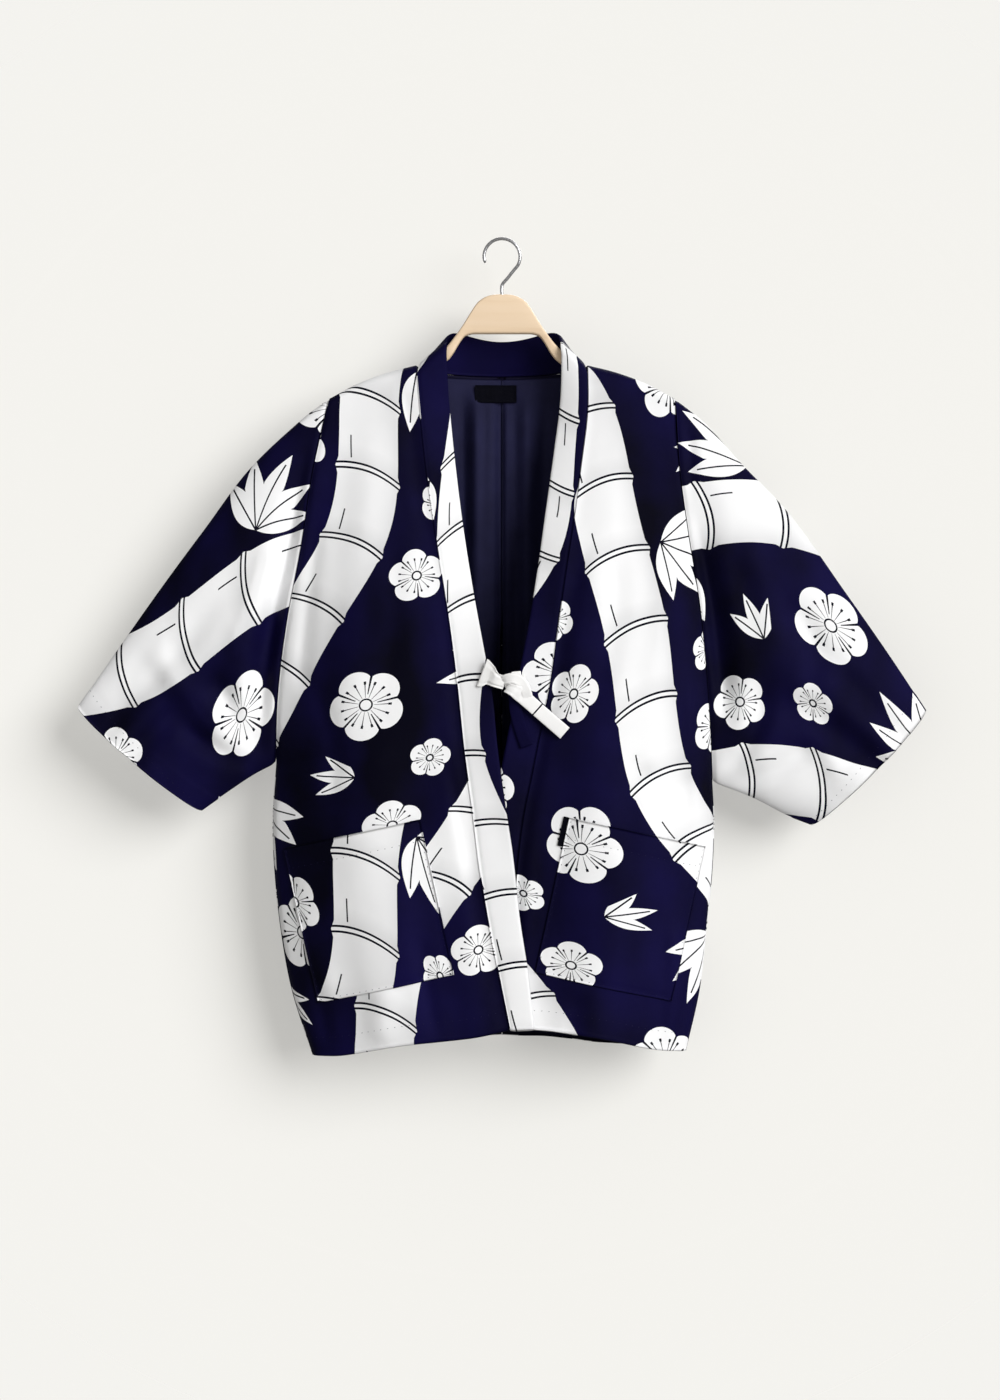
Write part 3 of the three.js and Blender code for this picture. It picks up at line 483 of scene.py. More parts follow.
def ripple(seed, x, z, size=95, waves=7):
    """Slight unevenness of hanging cloth, in a few long waves that mostly run down it."""
    rng = np.random.default_rng(seed)
    total = np.zeros_like(x)
    for _ in range(waves):
        angle, length = rng.normal(0, 0.35), size * rng.uniform(0.6, 1.7)
        turn = rng.uniform(0, 2 * np.pi)
        bend = rng.uniform(0.15, 0.5) * np.sin(z / (length * rng.uniform(1.2, 2.4)) + rng.uniform(0, 6))
        total += np.sin((x * math.cos(angle) + z * math.sin(angle)) * 2 * np.pi / length + bend * 3 + turn)
    return total / waves


# --------------------------------------------------------------------------------------------------
# Meshes
# --------------------------------------------------------------------------------------------------


def grid_normals(points, ring=False):
    """Unit normals of a grid of points, from its rows and columns."""
    if ring:
        across = np.roll(points, -1, 1) - np.roll(points, 1, 1)
    else:
        across = np.gradient(points, axis=1)
    return unit(np.cross(across, np.gradient(points, axis=0)))


def outward(points, normal, inside):
    """Turns the normals away from the inside points."""
    side = np.sign(((points - inside) * normal).sum(-1, keepdims=True))
    return normal * np.where(side == 0, 1, side)


def within(points, narrower=0.9, lower=12):
    """Points inside the garment, on its middle plane, near those on its wall."""
    return np.stack([points[..., 0] * narrower, 0 * points[..., 1], points[..., 2] - lower], -1)


def along_rows(points):
    """Length along each row from its first point, and down each column from the first row."""
    step = np.linalg.norm(np.diff(points, axis=1), axis=-1)
    across = np.concatenate([np.zeros((len(points), 1)), np.cumsum(step, 1)], 1)
    step = np.linalg.norm(np.diff(points, axis=0), axis=-1)
    down = np.concatenate([np.zeros((1, points.shape[1])), np.cumsum(step, 0)], 0)
    return across, down


UV_SCALE = 100.0  # millimetres of cloth in one unit of the map "cloth"
RIM_BOW = 0.45  # how round a wall's rim is, as a share of its thickness


def new_mesh(name, points, faces, materials, face_materials=None, corner_uv=None):
    mesh = bpy.data.meshes.new(name)
    mesh.from_pydata((np.asarray(points) * MM).tolist(), [], faces)
    for material in materials:
        mesh.materials.append(material)
    if face_materials is not None:
        mesh.polygons.foreach_set("material_index", np.asarray(face_materials, np.int32))
    if corner_uv is not None:
        layer = mesh.uv_layers.new(name="cloth")
        layer.uv.foreach_set("vector", np.asarray(corner_uv, np.float32).ravel())
    mesh.shade_smooth()
    mesh.update()
    ob = bpy.data.objects.new(name, mesh)
    bpy.context.scene.collection.objects.link(ob)
    return ob


def grid_cells(rows, columns, ring=False):
    """The four-sided faces of a grid of points, and each one's row and column."""
    r, c = np.meshgrid(np.arange(rows - 1), np.arange(columns if ring else columns - 1), indexing="ij")
    r, c = r.ravel(), c.ravel()
    c1 = (c + 1) % columns
    here, below = r * columns, (r + 1) * columns
    return np.stack([here + c, here + c1, below + c1, below + c], 1), r, c


def cell_corners(uv, r, c):
    return np.stack([uv[r, c], uv[r, c + 1], uv[r + 1, c + 1], uv[r + 1, c]], 1)


def rims(rows, columns, ring):
    """Rows and columns of the points round each open edge of a grid."""
    k = np.arange(columns)
    if ring:
        return [(0 * k, k), (0 * k + rows - 1, k[::-1])]
    k, m = np.arange(columns - 1), np.arange(rows - 1)
    return [(np.concatenate([0 * k, m, 0 * k + rows - 1, rows - 1 - m]),
             np.concatenate([k, 0 * m + columns - 1, columns - 1 - k, 0 * m]))]


def shell(name, outer, inner, uv, materials, ring=False):
    """A closed thin wall between two grids, with rounded rims. uv is in mm of cloth, with one more column
    than the grid where it is a ring. The second material is the inner side's."""
    rows, columns = outer.shape[:2]
    points = [outer.reshape(-1, 3), inner.reshape(-1, 3)]
    base = rows * columns
    faces, kinds, corners = [], [], []

    def add(quads, quad_uv, turned, kind):
        faces.append(quads[:, ::-1] if turned else quads)
        corners.append(quad_uv[:, ::-1] if turned else quad_uv)
        kinds.append(np.full(len(quads), kind))

    quads, r, c = grid_cells(rows, columns, ring)
    normal = np.cross(outer[0, 1] - outer[0, 0], outer[1, 0] - outer[0, 0])
    flip = normal @ (outer[0, 0] - inner[0, 0]) < 0
    add(quads, cell_corners(uv, r, c), flip, 0)
    add(quads + base, cell_corners(uv, r, c), not flip, 1)
    start = 2 * base
    for r, c in rims(rows, columns, ring):
        # the rim's middle line, bowed outwards along the cloth
        next_row = np.clip(r, 1, rows - 2)
        next_column = c if ring else np.clip(c, 1, columns - 2)
        out = unit(outer[r, c] - outer[next_row, next_column])
        thick = np.linalg.norm(outer[r, c] - inner[r, c], axis=1, keepdims=True)
        points.append((outer[r, c] + inner[r, c]) / 2 + out * thick * RIM_BOW)
        ids, lip = r * columns + c, start + np.arange(len(r))
        ids1, lip1 = np.roll(ids, -1), np.roll(lip, -1)
        at = uv[r, c]
        lip_uv = np.stack([at, at, np.roll(at, -1, 0), np.roll(at, -1, 0)], 1)
        add(np.stack([ids, lip, lip1, ids1], 1), lip_uv, not flip, 0)
        add(np.stack([lip, base + ids, base + ids1, lip1], 1), lip_uv, not flip, 0)
        start += len(r)
    return new_mesh(
        name, np.concatenate(points), np.concatenate(faces).tolist(), materials,
        np.concatenate(kinds), np.concatenate(corners).reshape(-1, 2) / UV_SCALE,
    )


def piece(ob, replaces=None):
    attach(ob, "root")
    if replaces:
        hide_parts(replaces)
    return ob


def spread(count, low=0.0, high=1.0, power=1.0):
    return mix(low, high, np.linspace(0, 1, count) ** power)


# --------------------------------------------------------------------------------------------------
# Materials
# --------------------------------------------------------------------------------------------------


class Value:
    """A number in a node tree. Arithmetic on it adds Math nodes."""

    def __init__(self, tree, socket):
        self.tree, self.socket = tree, socket

    def math(self, operation, *others):
        node = self.tree.nodes.new("ShaderNodeMath")
        node.operation = operation
        for k, value in enumerate((self, *others)):
            if isinstance(value, Value):
                self.tree.links.new(value.socket, node.inputs[k])
            else:
                node.inputs[k].default_value = value
        return Value(self.tree, node.outputs[0])

    def __add__(self, other):
        return self.math("ADD", other)

    def __sub__(self, other):
        return self.math("SUBTRACT", other)

    def __rsub__(self, other):
        return (self * -1.0) + other

    def __mul__(self, other):
        return self.math("MULTIPLY", other)

    def __truediv__(self, other):
        return self.math("DIVIDE", other)

    __radd__, __rmul__ = __add__, __mul__

    def abs(self):
        return self.math("ABSOLUTE")

    def sin(self):
        return self.math("SINE")

    def below(self, other):
        return self.math("LESS_THAN", other)

    def above(self, other):
        return self.math("GREATER_THAN", other)

    def floor(self):
        return self.math("FLOOR")

    def wrap(self, period):
        """Into -period/2 to period/2."""
        return self.math("WRAP", period / 2, -period / 2)

    def least(self, other):
        return self.math("MINIMUM", other)

    def most(self, other):
        return self.math("MAXIMUM", other)

    def turned(self, y, angle):
        """This and y as a place, seen from axes turned by the angle."""
        c, s = math.cos(angle), math.sin(angle)
        return self * c + y * s, y * c - self * s


def shader(name, tint):
    material = bpy.data.materials.new(name)
    material.use_nodes = True
    material.diffuse_color = (*tint, 1)
    tree = material.node_tree
    return material, tree, tree.nodes["Principled BSDF"]


def cloth_place(tree):
    """The place on the flat cloth, in millimetres."""
    node = tree.nodes.new("ShaderNodeUVMap")
    node.uv_map = "cloth"
    parts = tree.nodes.new("ShaderNodeSeparateXYZ")
    tree.links.new(node.outputs[0], parts.inputs[0])
    return tuple(Value(tree, parts.outputs[k]) * UV_SCALE for k in (0, 1))


def noise(tree, scale, detail=2.0, roughness=0.5, vector=None, distortion=0.0):
    node = tree.nodes.new("ShaderNodeTexNoise")
    node.inputs["Scale"].default_value = scale
    node.inputs["Detail"].default_value = detail
    node.inputs["Roughness"].default_value = roughness
    node.inputs["Distortion"].default_value = distortion
    if vector is None:
        vector = tree.nodes.new("ShaderNodeTexCoord").outputs["Object"]
    tree.links.new(vector, node.inputs["Vector"])
    return Value(tree, node.outputs["Fac"])


def stretched(tree, scale):
    """The place on the object, scaled along each axis, for a texture that runs along one of them."""
    mapping = tree.nodes.new("ShaderNodeMapping")
    mapping.inputs["Scale"].default_value = scale
    tree.links.new(tree.nodes.new("ShaderNodeTexCoord").outputs["Object"], mapping.inputs[0])
    return mapping.outputs[0]


def tinted(colour, share):
    return tuple(min(c * share, 1) for c in colour)


def ramp(tree, value, stops):
    node = tree.nodes.new("ShaderNodeValToRGB")
    elements = node.color_ramp.elements
    while len(elements) < len(stops):
        elements.new(0.5)
    for element, (position, colour) in zip(elements, stops):
        element.position, element.color = position, (*colour, 1)
    tree.links.new(value.socket, node.inputs[0])
    return node.outputs[0]


def mixed(tree, share, first, second):
    """A colour between two, each a colour or a socket, by a share."""
    node = tree.nodes.new("ShaderNodeMix")
    node.data_type = "RGBA"
    tree.links.new(share.socket, node.inputs[0])
    for k, colour in ((6, first), (7, second)):
        if isinstance(colour, tuple):
            node.inputs[k].default_value = (*colour, 1)
        else:
            tree.links.new(colour, node.inputs[k])
    return node.outputs[2]


def bump(tree, bsdf, height, distance, strength=1.0):
    node = tree.nodes.new("ShaderNodeBump")
    node.inputs["Distance"].default_value = distance
    node.inputs["Strength"].default_value = strength
    tree.links.new(height.socket, node.inputs["Height"])
    tree.links.new(node.outputs[0], bsdf.inputs["Normal"])


def weave(x, y, pitch):
    """Height of a plain weave: threads cross over and under."""
    turn = 2 * math.pi / pitch
    return (x * turn).sin() * (y * turn).sin()


NAVY = (0.0024, 0.0016, 0.0222)
WHITE = (0.88, 0.88, 0.89)
PALE_GREY = (0.60, 0.60, 0.61)
INK = (0.004, 0.004, 0.010)


# Millimetres of cloth: from culm to culm, half a culm, from joint to joint, and a cell's height.
PRINT = {"period": 292.0, "half_width": 37.0, "joint": 80.0, "cell": 262.0}
# The motifs of a cell, placed from its middle, a later one over an earlier one. A fan has a place, a turn,
# its leaves' length and width, the angle between them, and how many stand each side of its middle leaf. A
# blossom has a place, a radius and a turn in radians.
MOTIFS = [
    ("fan", -92.0, 40.0, -38, 88.0, 25.0, 27, 2),
    ("blossom", 34.0, -62.0, 41.0, 0.3),
    ("blossom", -58.0, -92.0, 22.0, 1.0),
    ("blossom", 62.0, 88.0, 30.0, 0.7),
    ("fan", -4.0, 122.0, 200, 52.0, 15.0, 31, 1),
]


def drawing(x, y, angle):
    """The print at a place: how white it is, its dark lines and its grey shading. Tall bamboo culms, with
    plum blossoms and fans of leaves in the cells between them."""
    # the drawing's own axes: b runs down the culms, a across them
    a, b = x.turned(y, math.radians(angle))
    a = a + (b * (2 * math.pi / 740)).sin() * 34.0 + (b * (2 * math.pi / 290) + 1.3).sin() * 7.0

    period, half_width, joint = PRINT["period"], PRINT["half_width"], PRINT["joint"]
    stripe = (a / period + 0.5).floor()
    da = a.wrap(period)
    arc = (da / half_width).math("POWER", 2.0) * 7.0
    bn = (b + stripe * 71.0 + arc).wrap(joint)
    flare = (1.0 - (bn / 9.0).abs()).most(0.0) * 3.2
    culm = (da.abs() - flare).below(half_width)
    ink = ((bn.abs() - 2.9).abs().below(1.15)) * culm
    groove = (da + 20.0 + (bn * 0.05).sin() * 1.5).abs().below(0.85) * (bn - 20.0).abs().below(12.0) * culm
    far_side = ((da - 2.0) / (half_width - 2.0)).most(0.0).least(1.0)
    under_joint = (1.0 - (bn - 3.0) / 20.0).least(1.0).most(0.0) * bn.above(3.0)
    grey = (far_side * far_side * 0.62 + under_joint * 0.4).least(1.0) * culm

    # motifs in the cells between the culms
    column = (a / period).floor()
    row_place = b + column * 97.0
    row = (row_place / PRINT["cell"] + 0.5).floor()
    ca, cb = (a - period / 2).wrap(period), row_place.wrap(PRINT["cell"])
    ca = ca * (1.0 - (column + row).math("PINGPONG", 1.0) * 2.0)

    def blossom(cx, cy, radius, turn):
        px, py = ca - cx, cb - cy
        far = (px * px + py * py).math("SQRT")
        around = px.math("ARCTAN2", py) + turn
        lobe = (around * 2.5).math("COSINE").abs()
        spokes = (around * 7.5).math("COSINE").abs()
        rim = lobe.math("POWER", 0.6) * (0.26 * radius) + 0.74 * radius
        body = far.below(rim)
        veins = lobe.below(0.10) * far.above(0.30 * radius)
        stamens = spokes.above(0.985) * far.below(0.62 * radius) * far.above(0.2 * radius)
        dots = spokes.above(0.93) * (far - 0.62 * radius).abs().below(0.045 * radius)
        eye = (far - 0.16 * radius).abs().below(0.9)
        lines = (veins + stamens + dots + eye).least(1.0) * body
        return body, lines, far.below(rim + 1.9)

    def fan(cx, cy, turn, length, width, step, most):
        """Leaves that fan out from a point."""
        px, py = (ca - cx).turned(cb - cy, math.radians(turn))
        step = math.radians(step)
        around = py.math("ARCTAN2", px)
        k = (around / step + 0.5).floor().most(-float(most)).least(float(most))
        back = k * -step
        c, s = back.math("COSINE"), back.sin()
        lx, ly = px * c - py * s, px * s + py * c
        size = 1.0 - k.abs() * 0.13
        t = lx / (size * (length / 2)) - 1.0
        reach = (1.0 - t * t) * (width / 2) * (1.25 - (t + 1.0) * 0.28)
        body = ly.abs().below(reach) * t.abs().below(1.0)
        rib = ly.abs().below(0.85) * body * t.below(0.7)
        return body, rib, ly.abs().below(reach + 2.2) * t.abs().below(1.04)

    drawn = {"fan": fan, "blossom": blossom}
    shapes = [drawn[kind](*values) for kind, *values in MOTIFS]
    white, dark = culm, (ink + groove).least(1.0)
    for body, lines, halo in shapes:
        white = (white * (1.0 - halo) + body).least(1.0)
        dark = dark * (1.0 - halo) + lines
        grey = grey * (1.0 - halo)
    return white, dark.least(1.0), grey


def printed_cotton(name, shift=(0, 0), angle=24, bare=None):
    """Navy cotton with the print in white. bare leaves it plain within that far of the cloth's middle."""
    material, tree, bsdf = shader(name, NAVY)
    x, y = cloth_place(tree)
    white, dark, grey = drawing(x + float(shift[0]), y + float(shift[1]), angle)
    if bare:
        white = white * y.abs().above(bare)

    # soft unevenness of the dye and the white ink
    cloudy = noise(tree, 22, 3)
    faded = noise(tree, 11, 2, vector=stretched(tree, (1, 1, 0.35))) * 0.8 + cloudy * 0.2
    navy = ramp(tree, faded, [(0.34, tinted(NAVY, 0.25)), (0.67, tinted(NAVY, 1.85))])
    ink_white = ramp(tree, cloudy, [(0.3, tinted(WHITE, 0.975)), (0.7, WHITE)])
    colour = mixed(tree, white, navy, ink_white)
    colour = mixed(tree, grey * white, colour, PALE_GREY)
    colour = mixed(tree, dark * white, colour, INK)
    tree.links.new(colour, bsdf.inputs["Base Color"])
    rough = noise(tree, 300, 2) * 0.12 + 0.56
    tree.links.new(rough.socket, bsdf.inputs["Roughness"])
    bsdf.inputs["Specular IOR Level"].default_value = 0.05
    bump(tree, bsdf, weave(x, y, 0.9) + noise(tree, 900, 2) * 0.7, 0.00006)
    return material


def plain_cloth(name, colour, pitch=0.7, specular=0.2, rough=0.75, vary=0.15, line_at=None):
    material, tree, bsdf = shader(name, colour)
    x, y = cloth_place(tree)
    cloudy = noise(tree, 30, 3)
    tone = ramp(tree, cloudy, [(0.3, tinted(colour, 1 - vary)), (0.7, tinted(colour, 1 + vary))])
    if line_at:
        tone = mixed(tree, (y - line_at).abs().below(0.85), tone, INK)
    tree.links.new(tone, bsdf.inputs["Base Color"])
    value = noise(tree, 260, 2) * 0.12 + (rough - 0.06)
    tree.links.new(value.socket, bsdf.inputs["Roughness"])
    bsdf.inputs["Specular IOR Level"].default_value = specular
    bump(tree, bsdf, weave(x, y, pitch) + noise(tree, 800, 2) * 0.5, 0.00005)
    return material


WOOD_TONES = [(0.2, (0.72, 0.525, 0.345)), (0.5, (0.80, 0.615, 0.425)), (0.8, (0.83, 0.65, 0.47))]


def lacquered_wood():
    material, tree, bsdf = shader("hanger_wood", (0.85, 0.66, 0.47))
    grain = noise(tree, 2.0, 5, 0.55, stretched(tree, (3, 40, 46)), 0.3)
    tone = ramp(tree, grain, WOOD_TONES)
    tree.links.new(tone, bsdf.inputs["Base Color"])
    rough = grain * 0.15 + 0.36
    tree.links.new(rough.socket, bsdf.inputs["Roughness"])
    bsdf.inputs["Coat Weight"].default_value = 0.15
    bsdf.inputs["Coat Roughness"].default_value = 0.3
    bump(tree, bsdf, grain, 0.00012)
    return material


def brushed_steel():
    material, tree, bsdf = shader("hook_steel", (0.6, 0.6, 0.62))
    scratch = noise(tree, 420, 4, 0.6)
    tone = ramp(tree, scratch, [(0.3, (0.50, 0.50, 0.52)), (0.7, (0.66, 0.66, 0.68))])
    tree.links.new(tone, bsdf.inputs["Base Color"])
    bsdf.inputs["Metallic"].default_value = 1.0
    rough = scratch * 0.2 + 0.16
    tree.links.new(rough.socket, bsdf.inputs["Roughness"])
    bump(tree, bsdf, scratch, 0.00001)
    return material


# --------------------------------------------------------------------------------------------------
# Camera, light and floor
# --------------------------------------------------------------------------------------------------

VIEW_CENTRE = (-0.0022, -0.5093)
VIEW_PLANE_Y = -0.025
VIEW_DISTANCE = 3.5
FRAME_HEIGHT = 1.54
FLOOR_Z = -1.62


def camera():
    data = bpy.data.cameras.new("camera")
    data.sensor_fit = "VERTICAL"
    data.sensor_height = 36
    data.lens = 36 * VIEW_DISTANCE / FRAME_HEIGHT
    ob = bpy.data.objects.new("camera", data)
    ob.location = (VIEW_CENTRE[0], VIEW_PLANE_Y - VIEW_DISTANCE, VIEW_CENTRE[1])
    ob.rotation_euler = (math.pi / 2, 0, 0)
    bpy.context.scene.collection.objects.link(ob)
    bpy.context.scene.camera = ob


PAPER = (0.905, 0.896, 0.863)
BACKDROP_Y = 0.062
# Half the size, and the backdrop's middle height, in mm; in metres, how far from its middle it reaches and
# over what distance it fades; then its tone and shade.
BACKDROP = {"size": 1100.0, "z": -480, "reach": 1.02, "fade": 0.34, "tone": 0.935, "shade": 0.62}
FLOOR = {"size": 1500.0, "reach": 1.4, "fade": 0.9, "tone": 0.93, "shade": 0.4}


def world():
    """Paper white to the camera, softer as light, and dim in reflections, as in a room with a window."""
    w = bpy.data.worlds.new("studio")
    bpy.context.scene.world = w
    w.use_nodes = True
    links = w.node_tree.links
    path = w.node_tree.nodes.new("ShaderNodeLightPath")
    shown = None
    for strength, ray in ((0.38, None), (0.3, "Is Glossy Ray"), (1.0, "Is Camera Ray")):
        background = w.node_tree.nodes.new("ShaderNodeBackground")
        background.inputs["Color"].default_value = (*PAPER, 1)
        background.inputs["Strength"].default_value = strength
        if ray:
            mixer = w.node_tree.nodes.new("ShaderNodeMixShader")
            links.new(path.outputs[ray], mixer.inputs[0])
            links.new(shown, mixer.inputs[1])
            links.new(background.outputs[0], mixer.inputs[2])
            shown = mixer.outputs[0]
        else:
            shown = background.outputs[0]
    links.new(shown, w.node_tree.nodes["World Output"].inputs["Surface"])


# Each light's direction, strength and breadth in degrees.
SUNS = {
    "key": ((-1.9, 2.0, -0.95), 3.15, 38),
    "fill": ((2.2, 2.6, 0.2), 0.2, 60),
    "back": ((-0.6, -2.6, -1.3), 1.5, 40),
}


def sun(name, direction, strength, degrees):
    data = bpy.data.lights.new(name, "SUN")
    data.energy, data.angle = strength, math.radians(degrees)
    ob = bpy.data.objects.new(name, data)
    ob.rotation_euler = Vector(direction).to_track_quat("-Z", "Y").to_euler()
    bpy.context.scene.collection.objects.link(ob)


def paper_stage(name, sizes, place, middle):
    """Pale paper that shows the garment's soft shadow. It is there only from its front, takes no part in the
    light and fades out round its middle. Its tone is its paint's share of the paper's colour, and its shade
    how much of its colour is the lit paint's."""
    points, faces = square(sizes["size"], 8, place)
    material, tree, bsdf = shader(name, PAPER)
    nodes, links = tree.nodes, tree.links
    spot = nodes.new("ShaderNodeVectorMath")
    spot.operation = "DISTANCE"
    spot.inputs[1].default_value = middle
    links.new(nodes.new("ShaderNodeTexCoord").outputs["Object"], spot.inputs[0])
    near = ((sizes["reach"] - Value(tree, spot.outputs["Value"])) / sizes["fade"]).least(1.0).most(0.0)
    front = 1.0 - Value(tree, nodes.new("ShaderNodeNewGeometry").outputs["Backfacing"])
    paint = nodes.new("ShaderNodeBsdfDiffuse")
    paint.inputs["Color"].default_value = (*tinted(PAPER, sizes["tone"]), 1)
    glow = nodes.new("ShaderNodeEmission")
    glow.inputs["Color"].default_value = (*PAPER, 1)
    shaded, shown = nodes.new("ShaderNodeMixShader"), nodes.new("ShaderNodeMixShader")
    shaded.inputs[0].default_value = sizes["shade"]
    links.new(glow.outputs[0], shaded.inputs[1])
    links.new(paint.outputs[0], shaded.inputs[2])
    links.new((near * front).socket, shown.inputs[0])
    links.new(nodes.new("ShaderNodeBsdfTransparent").outputs[0], shown.inputs[1])
    links.new(shaded.outputs[0], shown.inputs[2])
    links.new(shown.outputs[0], nodes["Material Output"].inputs["Surface"])
    nodes.remove(bsdf)
    ob = new_mesh(name, points, faces, [material])
    ob.visible_diffuse = ob.visible_glossy = ob.visible_transmission = ob.visible_shadow = False


def square(size, steps, place):
    """A square grid of points through place(a, b), and its faces."""
    a, b = np.meshgrid(np.linspace(-size, size, steps), np.linspace(-size, size, steps))
    return np.stack(place(a, b), -1).reshape(-1, 3), grid_cells(steps, steps)[0].tolist()


def paper():
    """A wall just behind the garment and a floor well below it."""
    y, z = BACKDROP_Y, FLOOR_Z
    paper_stage("backdrop", BACKDROP, lambda a, b: (a, 0 * a + y / MM, b + BACKDROP["z"]),
                (0, y, BACKDROP["z"] * MM))
    paper_stage("floor", FLOOR, lambda a, b: (a, b, 0 * a + z / MM), (0, 0, z))


# --------------------------------------------------------------------------------------------------
# The garment's pieces
# --------------------------------------------------------------------------------------------------


HEM_TURN = {"deep": 20, "fades": 5, "thick": 0.55}
RELIEF_MOST = 4  # no crease stands further out than this
RIPPLE_SEEDS = {"front": 11, "back": 21, "sleeve": 31, "pocket": 51, "collar": 7}
# The share across that the seam gap takes, and the flat size and area of what shows, in metres.
PANELS = {
    "front": {"starts": 0.0025, "flat": (0.25, 0.78), "area": 0.142},
    "back": {"starts": 0.001, "flat": (0.27, 0.78), "area": 0.178},
}


def pinch(distance, depth, reach):
    """A narrow valley along a seam or a line of stitches."""
    return -depth * np.exp(-((distance / reach) ** 2))


def turned_hem(distance):
    """The cloth is double where it is turned up, down to its edge."""
    return HEM_TURN["thick"] * (1 - smooth((distance - HEM_TURN["deep"]) / HEM_TURN["fades"]))


def panel_detail(part, half, place, flat):
    """Relief that a panel has beyond its solid's form."""
    x, z = half.sign * flat[..., 0], flat[..., 1]
    fade = smooth(place.inwards / 25) * smooth(place.drop / 40)
    rise = crease_rise(CREASES[f"{part}_{half.name}"], x, z) * fade
    rise = rise + ripple(RIPPLE_SEEDS[part] + half.sign, x, z) * 2.2 * fade * smooth(place.drop / 200)
    return rise + pinch(place.inwards, 1.0, 3.5) + turned_hem(place.from_hem)


def front_surface(half, u, v):
    """Points of the front's outer face, with its creases and the valley beside its collar seam."""
    points, place = front_point(half, u, v), Distances(half.front, u, v)
    rise = panel_detail("front", half, place, half.front(u, v)) * smooth(0.25 + place.from_opening / 40)
    rise = rise + pinch(place.from_opening - 4, 3.0, 8) * mix(0.3, 1, smooth((v - 0.3) / 0.2))
    points[..., 1] -= np.minimum(rise, RELIEF_MOST)
    return points


def back_surface(half, u, v):
    """Points of the back's outer face, with its creases and its centre seam."""
    points, place = back_point(half, u, v), Distances(half.back, u, v)
    rise = panel_detail("back", half, place, half.back(u, v))
    rise = rise + pinch(place.from_opening, 1.4, 3.0) * smooth(place.drop / 25)
    points[..., 1] += np.minimum(rise, RELIEF_MOST)
    return points


def panel(part, half):
    """A panel's outer and inner faces, and its place on flat cloth."""
    shape, surface = {"front": (half.front, front_surface), "back": (half.back, back_surface)}[part]
    u, v = np.meshgrid(spread(120, PANELS[part]["starts"], 1), spread(190, 0, 1, 1.35))
    outer, flat = surface(half, u, v), shape(u, v)
    inner = outer - outward(outer, grid_normals(outer), within(outer)) * CLOTH
    across, down = along_rows(outer)
    return outer, inner, np.stack([half.sign * (flat[:, :1, 0] + across), flat[:1, :, 1] - down], -1)


def sleeve_tube(half):
    """A sleeve's outer and inner faces, from the armhole to the cuff, and its place on flat cloth."""
    turn = (1 - np.cos(np.linspace(0, 1, 57) * np.pi)) / 2
    around = np.concatenate([1 + turn[:-1], 2 + turn[:-1]])
    a, s = np.meshgrid(around, spread(130, SLEEVE_START, 1, 1.15))
    outer = sleeve_point(half, a, s)
    t, front = down_sleeve(a)
    share = np.clip(t, 0.04, 0.96)[..., None]
    inside = mix(sleeve_point(half, 0 * a, s), sleeve_point(half, 0 * a + 1, s), share)
    normal = outward(outer, grid_normals(outer, ring=True), inside)
    from_seam, from_cuff = (
        np.linalg.norm(half.sleeve(s, t) - half.sleeve(0 * s + end, t), axis=-1) for end in (0, 1)
    )
    x, z = outer[..., 0], outer[..., 2]
    fade = section(t) * smooth(from_seam / 20)
    creases = [crease_rise(CREASES[f"sleeve_{half.name}_{side}"], x, z) for side in ("front", "back")]
    relief = np.where(front, *creases) * fade
    relief = relief + ripple(RIPPLE_SEEDS["sleeve"] + half.sign, x, z) * 1.6 * fade
    relief = relief + pinch(from_seam, 1.6, 4) + turned_hem(from_cuff)
    outer = outer + normal * np.minimum(relief, RELIEF_MOST)[..., None]
    inner = outer - outward(outer, grid_normals(outer, ring=True), inside) * CLOTH
    uv = sleeve_cloth(half, np.concatenate([a, a[:, :1] + 2], 1), np.concatenate([s, s[:, :1]], 1))
    return outer, inner, uv


def sleeve_cloth(half, a, s):
    """The sleeve's place on flat cloth: the front as it lies, and the back unfolded over the top fold."""
    top = half.sleeve(np.linspace(0, 1, 80), np.zeros(80))
    axis = unit(top[-1] - top[0])
    below = np.array([-axis[1], axis[0]]) * np.sign(-axis[0])
    flat = half.sleeve(s, down_sleeve(a)[0]) - top[0]
    along, deep = flat @ axis, flat @ below
    fold = np.interp(along, (top - top[0]) @ axis, (top - top[0]) @ below)
    return np.stack([along, np.where(a < 2, -1, 1) * (fold - deep)], -1)


def sewn_row(outer, inner, row=None, column=None):
    """A row or column of a shell's outer grid with its normals, for stitches."""
    at = (row, slice(None)) if column is None else (slice(None), column)
    return outer[at], unit(outer[at] - inner[at])


def cloth_pieces(printed, inner_material, thread):
    for name, half in HALVES.items():
        rows = []
        for part, sizes in PANELS.items():
            outer, inner, uv = panel(part, half)
            ob = shell(f"{part}_panel_{name}", outer, inner, uv, [printed[f"{part}_{name}"], inner_material])
            piece(ob, f"{part}_{name}")
            rows.append(sewn_row(outer, inner, row=-5))
        stitch_rows(f"hem_stitches_{name}", rows, thread)
        outer, inner, uv = sleeve_tube(half)
        materials = [printed[f"sleeve_{name}"], inner_material]
        ob = shell(f"sleeve_tube_{name}", outer, inner, uv, materials, ring=True)
        piece(ob, f"sleeve_{name}")
        stitch_rows(f"cuff_stitches_{name}", [sewn_row(outer, inner, row=-7)], thread)


SEAM_STRIP = {"half_width": 4.5, "off": 0.7, "thick": 0.4}


